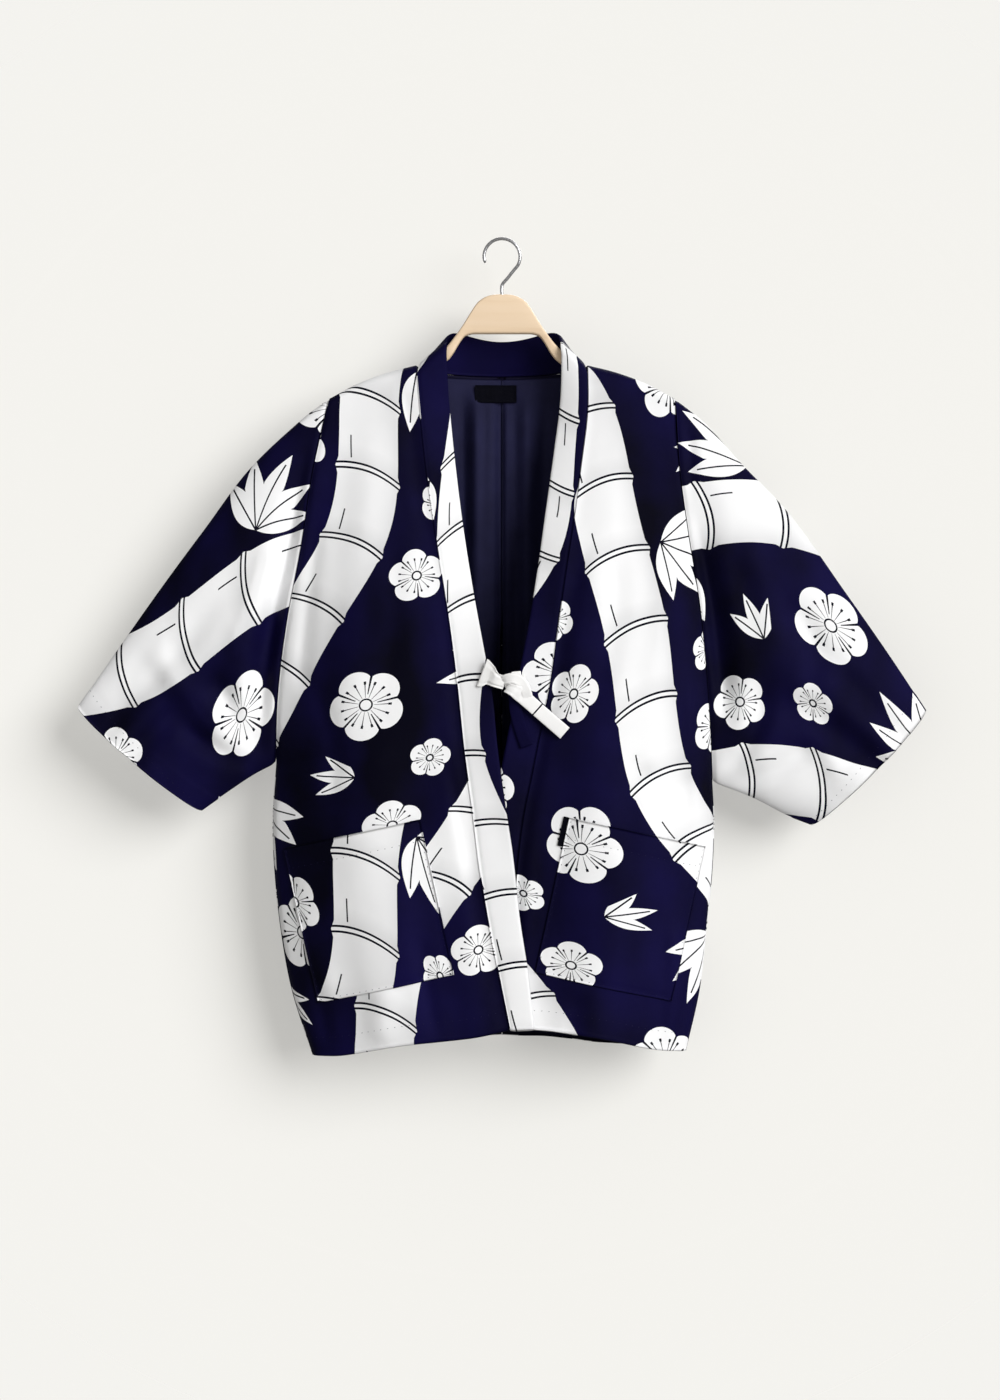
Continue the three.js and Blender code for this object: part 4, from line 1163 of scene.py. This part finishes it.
def back_seam_strip(material):
    """The pressed seam of the two backs, inside them and behind the lining."""
    v = spread(150, 0.0004, 0.995)
    across = np.linspace(-1, 1, 5)
    rows = []
    for side in across:
        half = HALVES["left" if side >= 0 else "right"]
        u = np.full_like(v, 0.001) + abs(side) * 0.018
        points = back_point(half, u, v)
        points[:, 0] = side * SEAM_STRIP["half_width"]
        rows.append(points)
    outer = np.stack(rows, 1)
    outer[..., 1] = outer[..., 1].min(1, keepdims=True) - CLOTH - SEAM_STRIP["off"]
    inner = outer + np.array([0, SEAM_STRIP["thick"], 0])
    uv = np.stack([across[None] * SEAM_STRIP["half_width"] + 0 * outer[..., 0], outer[..., 2]], -1)
    return piece(shell("back_seam_strip", outer, inner, uv, [material, material]))


# --------------------------------------------------------------------------------------------------
# Collar, pockets and lining
# --------------------------------------------------------------------------------------------------


def front_normal(half, v):
    """The front's outward normal along its collar seam."""
    step = 1e-3
    low, high = np.clip(v - step, 0, 1), np.clip(v + step, 0, 1)
    seam = front_point(half, 0 * v, v)
    across = front_point(half, 0 * v + step, v) - seam
    down = front_point(half, 0 * v, high) - front_point(half, 0 * v, low)
    return outward(seam, unit(np.cross(across, down)), within(seam, narrower=1))


def edge_point(half, v):
    """The collar's folded edge down the front, which rolls inwards beside the open chest."""
    edge, fades = half.edge(v), COLLAR_ROLL["fades"]
    roll = COLLAR_ROLL["size"] * smooth(v / COLLAR_ROLL["full"])
    roll = roll * (1 - smooth((v - fades) / (COLLAR_ROLL["gone"] - fades)))
    return np.stack([half.sign * edge[:, 0], front_point(half, 0 * v, v)[:, 1] + roll, edge[:, 1]], -1)


def collar_stations():
    """From the right hem round the neck to the left hem: the seam, the folded edge and, on the fronts, the
    way out of the panel that the collar is sewn to."""
    parts = []
    for name, half in HALVES.items():
        v = spread(230, 0, 1, 1.35)
        seam = front_surface(half, 0 * v, v)
        seam[:, 0] -= half.sign * NECK_TUCK * (1 - smooth(v / 0.02))
        front = (seam, edge_point(half, v), front_normal(half, v))
        u = spread(26, 0.001, half.neck_share)[:-1]
        seam = back_point(half, u, 0 * u)
        around = np.sqrt(np.maximum(0, 1 - (seam[:, 0] / NECK_OUT) ** 2))
        reach = half.edge(0.0)
        edge = np.stack(
            [
                seam[:, 0] / NECK_OUT * reach[0],
                np.maximum(seam[:, 1] - COLLAR_TOP["lean"] * around, 0.3),
                mix(reach[1], COLLAR_TOP["z"], around) + COLLAR_TOP["shoulder"] * 4 * around * (1 - around),
            ],
            -1,
        )
        seam = seam + np.stack([-seam[:, 0] / NECK_OUT * NECK_TUCK, 0 * u, 0 * u + NECK_GAP], -1)
        back = (seam, edge, np.full_like(seam, np.nan))
        order = slice(None, None, -1) if name == "right" else slice(None)
        pair = [tuple(x[order] for x in front), tuple(x[order] for x in back)]
        parts += pair if name == "right" else pair[::-1]
    return [np.concatenate(x) for x in zip(*parts)]


# The share of its width by which the band has its own plane; its crown; its seam's depth and reach; and its
# waves' height and length.
COLLAR_RELIEF = {"turns_by": 0.35, "crown": 1.1, "seam": (0.9, 2.2), "waves": 1.3, "wave_length": 110}


def collar(material):
    seam, edge, panel = collar_stations()
    t = np.concatenate([np.linspace(0, 0.9, 13), [0.94, 0.965, 0.985, 1]])
    ahead = np.gradient(seam, axis=0) + np.gradient(edge, axis=0)
    across = edge - seam
    own = unit(np.cross(across, ahead))
    start = np.where(np.isnan(panel), own, panel)
    # it leaves its seam in line with the panel, and turns to its own plane
    normal = unit(mix(start[:, None], own[:, None], smooth(t / COLLAR_RELIEF["turns_by"])[None, :, None]))
    middle = seam[:, None] + across[:, None] * t[None, :, None]
    fold = COLLAR_FOLD["share"]
    rounded = COLLAR_WALL / 2 * (1 - arch(1 - t, fold) / fold) * COLLAR_FOLD["blunt"]
    length = lengths_along((seam + edge) / 2)
    length -= length[len(length) // 2]
    out, along = t[None] * np.linalg.norm(across, axis=1)[:, None], length[:, None] + 0 * t[None]
    # soft crown of the padded band, the sunk seam, and slight waves along it
    crown = COLLAR_RELIEF["crown"] * section(t)[None] + pinch(out, *COLLAR_RELIEF["seam"])
    wave = ripple(RIPPLE_SEEDS["collar"], out, along, COLLAR_RELIEF["wave_length"]) * COLLAR_RELIEF["waves"]
    crown = crown + wave * section(np.clip(t * 0.8, 0, 1))[None]
    outer = middle + normal * (crown - rounded[None])[..., None]
    inner = middle - normal * (COLLAR_WALL - rounded)[None, :, None]
    band = shell("collar_band", outer, inner, np.stack([out, along], -1), [material, material])
    return piece(band, "collar")


def place_on(shape, out, z, u=0.5, v=0.6):
    """The shares on a flat shape of the places at out and z."""
    u, v, step = np.full_like(out, u), np.full_like(out, v), 1e-4
    for _ in range(12):
        p = shape(u, v)
        pu, pv = (shape(u + step, v) - p) / step, (shape(u, v + step) - p) / step
        det = pu[..., 0] * pv[..., 1] - pv[..., 0] * pu[..., 1]
        do, dz = out - p[..., 0], z - p[..., 1]
        u = u + (pv[..., 1] * do - pv[..., 0] * dz) / det
        v = v + (pu[..., 0] * dz - pu[..., 1] * do) / det
    return u, v


def pocket_face(half, a, b, lift):
    """Points above the front at shares across and down the pocket."""
    turn = math.radians(POCKET["turn"])
    x, y = a * POCKET["width"], b * POCKET["height"]
    corner = POCKET["corner"][half.name]
    u, v = place_on(
        half.front,
        corner[0] + x * math.cos(turn) - y * math.sin(turn),
        corner[1] - x * math.sin(turn) - y * math.cos(turn),
    )
    points = front_surface(half, u, v)
    normal = outward(points, grid_normals(points), within(points, narrower=1, lower=0))
    return points + normal * lift[..., None], normal


def matched(half, shift, angle):
    """The shift and angle that carry the front's print on over the pocket, a few millimetres off."""
    turn, corner = half.sign * POCKET["turn"], POCKET["corner"][half.name]
    x, z = half.sign * corner[0] + shift[0] + 3, corner[1] + shift[1] - 4
    c, s = math.cos(math.radians(angle)), math.sin(math.radians(angle))
    across, along = x * c + z * s, z * c - x * s
    angle += turn
    c, s = math.cos(math.radians(angle)), math.sin(math.radians(angle))
    return (across * c - along * s, across * s + along * c), angle


def pocket(half, material, inner_material, thread):
    a, b = np.meshgrid(np.linspace(0, 1, 62), np.linspace(0, 1, 70))
    edge = np.minimum(np.minimum(a, 1 - a) * POCKET["width"], (1 - b) * POCKET["height"])
    full = 1 - np.exp(-edge / POCKET["full_by"])
    mouth = section(a) * (1 - smooth(b / POCKET["mouth_slack"]))
    lift = POCKET["lift"] + POCKET["cloth"] + POCKET["full"] * full + POCKET["slack"] * mouth
    x, y = (a - 0.5) * POCKET["width"], (b - 0.5) * POCKET["height"]
    lift = lift + ripple(RIPPLE_SEEDS["pocket"] + half.sign, x, y, 80) * 0.7 * full
    lift = lift + pinch(b * POCKET["height"] - POCKET["mouth"], 0.5, 1.6)
    lift = lift + pinch(edge - POCKET["seam_in"], 0.45, 1.5)
    outer, normal = pocket_face(half, a, b, lift)
    inner = outer - normal * POCKET["cloth"]
    uv = np.stack([half.sign * a * POCKET["width"], -b * POCKET["height"]], -1)
    name = half.name
    ob = shell(f"pocket_patch_{name}", outer, inner, uv, [material, inner_material])
    piece(ob, f"pocket_{name}")
    rows = [sewn_row(outer, inner, **at) for at in ({"column": 1}, {"row": -2}, {"column": -2}, {"row": 9})]
    stitch_rows(f"pocket_stitches_{name}", rows, thread)


def pocket_slit_shade(half, material):
    """Near-black facing, as painted shade, where the left pocket's inner edge stays open below its mouth."""
    a, b = np.meshgrid(np.linspace(-0.041, -0.004, 5), np.linspace(0.0, 0.185, 24))
    outer, normal = pocket_face(half, a, b, np.full_like(a, 1.7))
    uv = np.stack([a * POCKET["width"], -b * POCKET["height"]], -1)
    return piece(shell("pocket_slit_shade_left", outer, outer - normal * 0.9, uv, [material, material]))


# The lining's pleats: place across, half width, height.
LINING_FOLDS = [(-45, 9, -5), (-30, 8, 7), (-13, 7, 5), (14, 7, -4.4), (29, 9, 5.4), (48, 8, -4.2),
                (84, 22, 3), (-96, 22, 3), (130, 24, 3), (-140, 24, 3)]


# How far in front of the back it hangs, and its ease; the drop over which the pleats come in, and how much
# they slant; and height and reach of its slack round the seam, of the catch in it, and of the seam.
LINING = {"behind": 2.3, "ease": 1.2, "fade": 60, "slant": 0.012, "stands_off": (5.2, 52),
          "caught": (6.4, 4.6), "seam": (1.1, 1.6)}


def lining_point(half, u, v):
    """The back lining's face, which hangs in soft pleats of its own in front of the back."""
    points = back_point(half, u, v)
    x, drop = points[..., 0], BACK_NECK_Z - points[..., 2]
    fade = smooth(drop / LINING["fade"])
    rise = np.zeros_like(x)
    for k, (at, half_width, height) in enumerate(LINING_FOLDS):
        off = (x - at - drop * LINING["slant"] * math.sin(k * 2.4)) / half_width
        rise += height * np.exp(-(off**2)) * fade * (0.75 + 0.25 * np.sin(drop / 130 + k * 1.7))
    # it stands off the back round its centre seam, and is caught to it there
    loose, reach = LINING["stands_off"]
    rise = np.maximum(rise + LINING["ease"] + loose * np.exp(-((x / reach) ** 2)) * fade, 0)
    rise = rise + pinch(x + 2, *LINING["caught"]) * fade + pinch(x, *LINING["seam"])
    normal = outward(points, grid_normals(points), within(points))
    return points - normal * (LINING["behind"] + np.maximum(rise, 0))[..., None], normal


def lining(half, material):
    u, v = np.meshgrid(spread(110, 0.0012, 0.96), spread(150, 0.004, 0.985, 1.2))
    outer, normal = lining_point(half, u, v)
    outer[..., 1] = np.maximum(outer[..., 1], SEAM_GAP)
    inner = outer - normal * LINING_CLOTH
    inner[..., 1] = np.maximum(inner[..., 1], SEAM_GAP / 2)
    across, down = along_rows(outer)
    uv = np.stack([half.sign * across, -down], -1)
    ob = shell(f"lining_cloth_{half.name}", outer, inner, uv, [material, material])
    return piece(ob, f"lining_back_{half.name}")


# Its rim's depth, place and reach; how far proud it stands and bows; and how closely it follows the lining.
LABEL = {"width": 46, "height": 19, "middle_x": -7, "top_z": -158, "thick": 0.5,
         "rim": (0.3, 1.4, 0.6), "proud": 1.4, "bow": 0.5, "follows": 0.35}


def neck_label(material):
    """Follows the lining behind it, smoothed, and stands just proud of it."""
    a, b = np.meshgrid(np.linspace(0, 1, 70), np.linspace(0, 1, 34))
    x = LABEL["middle_x"] + (a - 0.5) * LABEL["width"]
    z = LABEL["top_z"] - b * LABEL["height"]
    places = np.linspace(0, a.shape[1] - 1, 13).astype(int)
    front = np.full(len(places), 1e9)
    for half in HALVES.values():
        u, v = np.meshgrid(spread(60, 0.0012, 0.2), spread(60, 0.004, 0.12))
        points, _ = lining_point(half, u, v)
        for k, column in enumerate(places):
            near = (abs(points[..., 0] - x[0, column]) < 4) & (abs(points[..., 2] - z.mean()) < 12)
            if near.any():
                front[k] = min(front[k], points[..., 1][near].min())
    y = mix(front.mean(), np.interp(np.arange(a.shape[1]), places, front), LABEL["follows"])[None]
    edge = np.minimum(np.minimum(a, 1 - a) * LABEL["width"], np.minimum(b, 1 - b) * LABEL["height"])
    depth, place, reach = LABEL["rim"]
    rim = depth * (1 - smooth((edge - place) / reach))
    outer = np.stack([x, y - LABEL["proud"] - LABEL["bow"] * section(a) - rim, z], -1)
    inner = outer + np.array([0, LABEL["thick"], 0])
    uv = np.stack([a * LABEL["width"], -b * LABEL["height"]], -1)
    ob = shell("label_woven", outer, inner, uv, [material, material])
    return piece(ob, "label")


# --------------------------------------------------------------------------------------------------
# Ties, knot, hanger and hook
# --------------------------------------------------------------------------------------------------


def loft(name, rings, uv, materials):
    """A closed body through rings of points, with flat ends."""
    rows, columns = rings.shape[:2]
    quads, r, c = grid_cells(rows, columns, ring=True)
    corners = cell_corners(uv, r, c)
    points = rings.reshape(-1, 3)
    a, b, d = points[quads[:, 0]], points[quads[:, 1]], points[quads[:, 2]]
    volume = (a * np.cross(b, d)).sum() + (a * np.cross(d, points[quads[:, 3]])).sum()
    faces = quads.tolist()
    caps = [list(range(columns))[::-1], [(rows - 1) * columns + k for k in range(columns)]]
    cap_uv = [uv[0, :columns][::-1], uv[-1, :columns]]
    if volume < 0:
        faces = quads[:, ::-1].tolist()
        corners = corners[:, ::-1]
        caps = [cap[::-1] for cap in caps]
        cap_uv = [x[::-1] for x in cap_uv]
    corner_uv = np.concatenate([corners.reshape(-1, 2), *cap_uv]) / UV_SCALE
    return new_mesh(name, points, faces + caps, materials, None, corner_uv)


def circle(count):
    angle = np.linspace(0, 2 * np.pi, count, endpoint=False)
    return np.cos(angle), np.sin(angle)


def tie_strip(name, path, across, half_width, thick, materials, gathers=0, gather_fade=None, uv_shift=(0, 0)):
    """A flat stitched tube of cloth along a path, with rounded edges and, where it is drawn together, small
    lengthwise gathers."""
    ahead = unit(np.gradient(path, axis=0))
    across = unit(across - (across * ahead).sum(-1, keepdims=True) * ahead)
    normal = unit(np.cross(ahead, across))
    cs, sn = circle(36)
    wide = np.sign(cs) * np.abs(cs) ** 0.55
    deep = np.sign(sn) * np.abs(sn) ** 0.62
    length = lengths_along(path)
    share = length / length[-1]
    close = np.minimum(1, np.minimum(share, 1 - share) * length[-1] / 1.2 + 0.35)
    fade = np.ones(len(path)) if gather_fade is None else gather_fade
    rings = (
        path[:, None]
        + across[:, None] * (wide[None] * half_width[:, None])[..., None]
        + normal[:, None] * (
            deep[None] * (thick / 2) * close[:, None]
            + np.cos(wide * gathers * np.pi)[None] * 0.9 * fade[:, None] * (gathers > 0)
        )[..., None]
    )
    place = np.concatenate([wide, wide[:1]])
    uv = np.stack(
        [place[None] * half_width[:, None] + uv_shift[0], length[:, None] + uv_shift[1] + 0 * place[None]], -1
    )
    return loft(name, rings, uv, materials)


def resampled(points, count):
    return through(points)(np.linspace(0, 1, count))


def on_left_front(rows):
    """Middle lines over the left front: x, z and how far in front of it."""
    rows = np.array(rows, float)
    half = HALVES["left"]
    u, v = place_on(half.front, rows[:, 0], rows[:, 1], 0.0, 0.5)
    y = -front_rise(half, np.maximum(u, 0), v) - rows[:, 2]
    return np.stack([rows[:, 0], y, rows[:, 1]], -1)


TIE_THICK = 2.6
TIE_LINE = 59.0  # a dark line across the long end, from its start
TIE_WHITE = (0.86, 0.855, 0.85)
TIE_ROOT_Z = {"right": -479, "left": -483}


def flat_across(path):
    """Across directions of a band that lies flat to the front."""
    ahead = unit(np.gradient(path, axis=0))
    return unit(np.stack([-ahead[:, 2], 0 * ahead[:, 0], ahead[:, 0]], -1))


def ties(white, lined, dark):
    """The two cloth ties: their roots on the collar's edges, the knot's arched lobe and core, the long free
    end that folds out of the knot, and the short one below it."""
    right, left = HALVES["right"], HALVES["left"]
    edge = edge_point(right, np.linspace(0, 1, 400))
    at = edge[np.argmin(np.abs(edge[:, 2] - TIE_ROOT_Z["right"]))]
    path = [at + np.array([-7.5, -3.2, 0.5]), at + np.array([1, -4.4, -3])]
    path = resampled(path + [(-7, -59.5, -487.5), (3, -60, -490.5)], 44)
    share = np.linspace(0, 1, 44)
    across = mix(np.array([-0.25, 0, 1.0]), np.array([0.1, 0, 1.0]), smooth(share)[:, None])
    width = 7.6 + 8.4 * (1 - smooth(share / 0.75)) ** 1.3
    gathered = mix(0.25, 1, smooth(share * 1.4))
    root = tie_strip("tie_root_right", path, across, width, TIE_THICK, [white], 4, gathered)
    piece(root, "tie_right")

    edge = edge_point(left, np.linspace(0, 1, 400))
    at = edge[np.argmin(np.abs(edge[:, 2] - TIE_ROOT_Z["left"]))]
    path = resampled([at + np.array([2.5, 0.5, 0]), at + np.array([-7, -1.4, -1.5]), (24, -55.5, -488)], 26)
    root = tie_strip("tie_root_left", path, np.tile(np.array([0.15, 0, 1.0]), (26, 1)),
                     mix(5.0, 5.5, np.linspace(0, 1, 26)), TIE_THICK, [white])
    piece(root, "tie_left")

    path = resampled(
        [(0.5, -59.5, -488.5), (5, -62.6, -486.8), (12, -64.0, -486), (20, -63.2, -489.5), (25, -60.6, -498),
         (28, -56.0, -507)], 46
    )
    share = np.linspace(0, 1, 46)
    width = mix(5.4, 5.8, share) + 0.5 * section(share)
    gathered = 0.45 * (1 - smooth(share * 2)) + 0.12
    lobe = tie_strip("knot_lobe_upper", path, flat_across(path), width, 3.2, [white], 3, gathered, (40, 30))
    path = resampled([(4, -57, -491), (9, -58.5, -493), (15, -58.5, -494), (22, -56.5, -494)], 20)
    core = tie_strip("knot_core", path, np.tile(np.array([0, 0, 1.0]), (20, 1)),
                     5.6 * section(np.linspace(0.12, 0.88, 20)), 6.5, [white], 0, None, (10, 60))
    for ob, flat in ((lobe, (0.014, 0.055)), (core, (0.014, 0.03))):
        piece(ob, "tie_knot")

    free = on_left_front([(21, -504.5, 8.2), (30, -512, 6.6), (46, -526, 4.4), (68.6, -545.5, 3.1)])
    fold = [(17, -60.8, -500.5), (10, -61.4, -497.5), (5.6, -63.6, -496.4), (8.6, -66.4, -497.4),
            (14, -66.8, -499.8)]
    path = resampled(np.concatenate([np.array(fold), free]), 96)
    share = np.linspace(0, 1, 96)
    own = flat_across(path)
    across = np.where((share < 0.3)[:, None], unit(np.array([0.62, 0, 0.78])), own)
    across = mix(across, own, smooth((share - 0.25) / 0.15)[:, None])
    width = mix(5.2, 7.9, smooth((share - 0.1) / 0.22))
    gathered = 0.5 * (1 - smooth(share / 0.45))
    end = tie_strip("tie_end_long", path, across, width, TIE_THICK, [lined], 2, gathered, (-20, 0))
    piece(end, "tie_end_right")

    rest = on_left_front([(13, -506, 2.6), (15, -520, 2.2), (20, -540, 2.0), (27, -560, 2.0)])
    path = resampled(np.concatenate([[(12.0, -56.0, -497.0)], rest]), 50)
    share = np.linspace(0, 1, 50)
    width, gathered = mix(5.0, 6.8, smooth(share / 0.4)), 1 - smooth(share / 0.6)
    end = tie_strip("tie_end_short", path, flat_across(path), width, 2.2, [dark], 1, gathered, (0, 40))
    piece(end, "tie_end_left")


# --------------------------------------------------------------------------------------------------
# Sewing
# --------------------------------------------------------------------------------------------------

# The last three are the stations along a stitch, how far each lies above the cloth, and its thickness as
# a share of the radius.
STITCH = {"long": 1.7, "gap": 6.3, "radius": 0.24, "turns": 6,
          "shares": [0, 0.25, 0.75, 1], "sink": [-0.3, 0.12, 0.12, -0.3], "thick": [0.6, 1, 1, 0.6]}


def stitch_rows(name, rows, material):
    """Short hand stitches along rows of points that lie on cloth, each row with its outward normals. Each
    stitch is a small closed thread that dips into the cloth at both ends."""
    long, gap, turns = STITCH["long"], STITCH["gap"], STITCH["turns"]
    shares, sink, thick = (np.array(STITCH[key]) for key in ("shares", "sink", "thick"))
    (cs, sn), last = circle(turns), len(shares) - 1
    sides = grid_cells(len(shares), turns, ring=True)[0][:, [0, 3, 2, 1]]
    end = np.arange(turns)
    points, faces = [], []
    for path, normal in rows:
        at = lengths_along(path)
        for start in np.arange(gap / 2, at[-1] - long, long + gap):
            s = start + shares * long
            middle, up = (
                np.stack([np.interp(s, at, row[:, k]) for k in range(3)], -1) for row in (path, normal)
            )
            up = unit(up)
            middle = middle + up * sink[:, None]
            side = unit(np.cross(unit(middle[last] - middle[0]), up))
            ring = middle[:, None] + (STITCH["radius"] * thick)[:, None, None] * (
                cs[None, :, None] * side[:, None] + sn[None, :, None] * up[:, None])
            base = len(points) * len(shares) * turns
            points.append(ring.reshape(-1, 3))
            faces += (sides + base).tolist()
            faces += [(end + base).tolist(), (end[::-1] + base + last * turns).tolist()]
    return piece(new_mesh(name, np.concatenate(points), faces, [material]))


HANGER = {
    "thick": 10, "clearance": 1.3, "arm_height": 15, "arm_end": 186, "corner": 3.4,
    "blunt": {"by": 6, "from": 170, "over": 17},  # how its ends are rounded off
    "crown": [(0, -60, -104), (9, -60.4, -104), (18, -62.8, -104), (27, -69, -104), (35, -80.5, -104.5),
              (43, -93.5, -108.5), (57, -113, -130), (66, -122.5, -138), (78, -135.5, -150.5),
              (90, -145, -159.5)],
}


def hanger(material):
    ridge = RIDGE(np.linspace(0, 1, 300))
    rows = list(HANGER["crown"])
    for out in (106, 117, 128, 144, 160, 174, 182, HANGER["arm_end"]):
        top = np.interp(out, ridge[:, 0], ridge[:, 1]) - 2 - HANGER["clearance"]
        end = np.clip((out - HANGER["blunt"]["from"]) / HANGER["blunt"]["over"], 0, 1)
        blunt = HANGER["blunt"]["by"] * (1 - section(0.5 + end / 2))
        rows.append((out, top - blunt, top - HANGER["arm_height"] + blunt))
    rows = np.array(rows, float)
    out = np.concatenate([np.linspace(0, 60, 46)[:-1], np.linspace(60, HANGER["arm_end"], 60)])
    curve = through(rows)(np.linspace(0, 1, 900))
    top, bottom = np.interp(out, curve[:, 0], curve[:, 1]), np.interp(out, curve[:, 0], curve[:, 2])
    out = np.concatenate([-out[:0:-1], out])
    top, bottom = np.concatenate([top[:0:-1], top]), np.concatenate([bottom[:0:-1], bottom])
    cs, sn = circle(32)
    half_height = (top - bottom) / 2
    # rounded rectangle of constant corner radius
    radius = HANGER["corner"]
    y = np.sign(cs) * (HANGER["thick"] / 2 - radius) + cs * radius
    z = np.sign(sn)[None] * np.maximum(half_height - radius, 0.2)[:, None] + sn[None] * np.minimum(
        radius, half_height)[:, None]
    rings = np.stack([out[:, None] + 0 * z, y[None] + 0 * z, ((top + bottom) / 2)[:, None] + z], -1)
    place = np.linspace(0, 2 * np.pi, 33) * 12
    uv = np.stack([out[:, None] + 0 * place[None], place[None] + 0 * out[:, None]], -1)
    ob = loft("hanger_bar", rings, uv, [material])
    return piece(ob, "hanger")


# Millimetres, degrees, and the rounding of its tip as shares of the wire's radius.
HOOK = {"wire": 3.6, "bend": 20, "stem_top": -50, "opens_at": 200, "tip": [1, 0.97, 0.88, 0.7, 0.4]}


def hook(material):
    centre_z = HOOK["wire"] / 2 - HOOK["bend"]
    points = [(0, 0, -61), (0, 0, HOOK["stem_top"]), (HOOK["bend"] * 0.3, 0, centre_z - HOOK["bend"] * 1.2)]
    for degrees in range(-50, HOOK["opens_at"] + 1, 25):
        angle = math.radians(degrees)
        points.append((HOOK["bend"] * math.cos(angle), 0, centre_z + HOOK["bend"] * math.sin(angle)))
    steps, turns = 150, 20
    path = resampled(points, steps)
    side = np.array([0, 1.0, 0])
    up = np.cross(unit(np.gradient(path, axis=0)), side)
    cs, sn = circle(turns)
    radius = np.full(steps, HOOK["wire"] / 2)
    radius[-len(HOOK["tip"]):] *= HOOK["tip"]
    around = cs[None, :, None] * side + sn[None, :, None] * up[:, None]
    rings = path[:, None] + radius[:, None, None] * around
    round_it, along = np.linspace(0, 11, turns + 1)[None], np.linspace(0, 130, steps)[:, None]
    uv = np.stack(np.broadcast_arrays(round_it, along), -1)
    return piece(loft("hook_wire", rings, uv, [material]), "hook")


# --------------------------------------------------------------------------------------------------

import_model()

bpy.context.scene.view_settings.view_transform = "Standard"
camera()
world()
for name, values in SUNS.items():
    sun(name, *values)
paper()

PRINTS = {
    "front_right": ((143, 179), -21.7),
    "front_left": ((278, 198), 24.1),
    "back_right": ((60, 120), 25),
    "back_left": ((60, 120), 25),
    "sleeve_right": ((204, 74), -51),
    "sleeve_left": ((226, 153), -29.9),
}
printed = {name: printed_cotton(f"print_{name}", *choice) for name, choice in PRINTS.items()}
inner_cloth = plain_cloth("inner_cloth", (0.0075, 0.0065, 0.024), specular=0.08)
hanger(lacquered_wood())
hook(brushed_steel())
thread = plain_cloth("navy_thread", (0.006, 0.0045, 0.034), 0.3)
cloth_pieces(printed, inner_cloth, thread)
back_seam_strip(inner_cloth)
print_collar = printed_cotton("print_collar", (40, 1420), -4, bare=95)
print_pocket = {
    "right": printed_cotton("print_pocket_right", (60, 30), -34),
    "left": printed_cotton("print_pocket_left", *matched(HALVES["left"], *PRINTS["front_left"])),
}
tie_white, tie_lined = (
    plain_cloth(name, TIE_WHITE, 0.9, vary=0.02, line_at=line)
    for name, line in (("tie_white", None), ("tie_lined", TIE_LINE))
)
tie_navy = plain_cloth("tie_navy", NAVY, 0.9, specular=0.05)
lining_cloth = plain_cloth("lining_cloth", (0.0135, 0.0135, 0.045), 0.5, specular=0.08, rough=0.5)
# near-black: the label's own colour, and painted shade on the pocket slit's strip
label_and_slit_shade_black = plain_cloth("label_and_slit_shade_black", (0.0010, 0.0010, 0.0040), 0.45, specular=0.05, rough=0.6)
collar(print_collar)
for half in HALVES.values():
    pocket(half, print_pocket[half.name], inner_cloth, thread)
    lining(half, lining_cloth)
# a near-black strip as painted shade in the left pocket's open gap
pocket_slit_shade(HALVES["left"], label_and_slit_shade_black)
neck_label(label_and_slit_shade_black)
ties(tie_white, tie_lined, tie_navy)
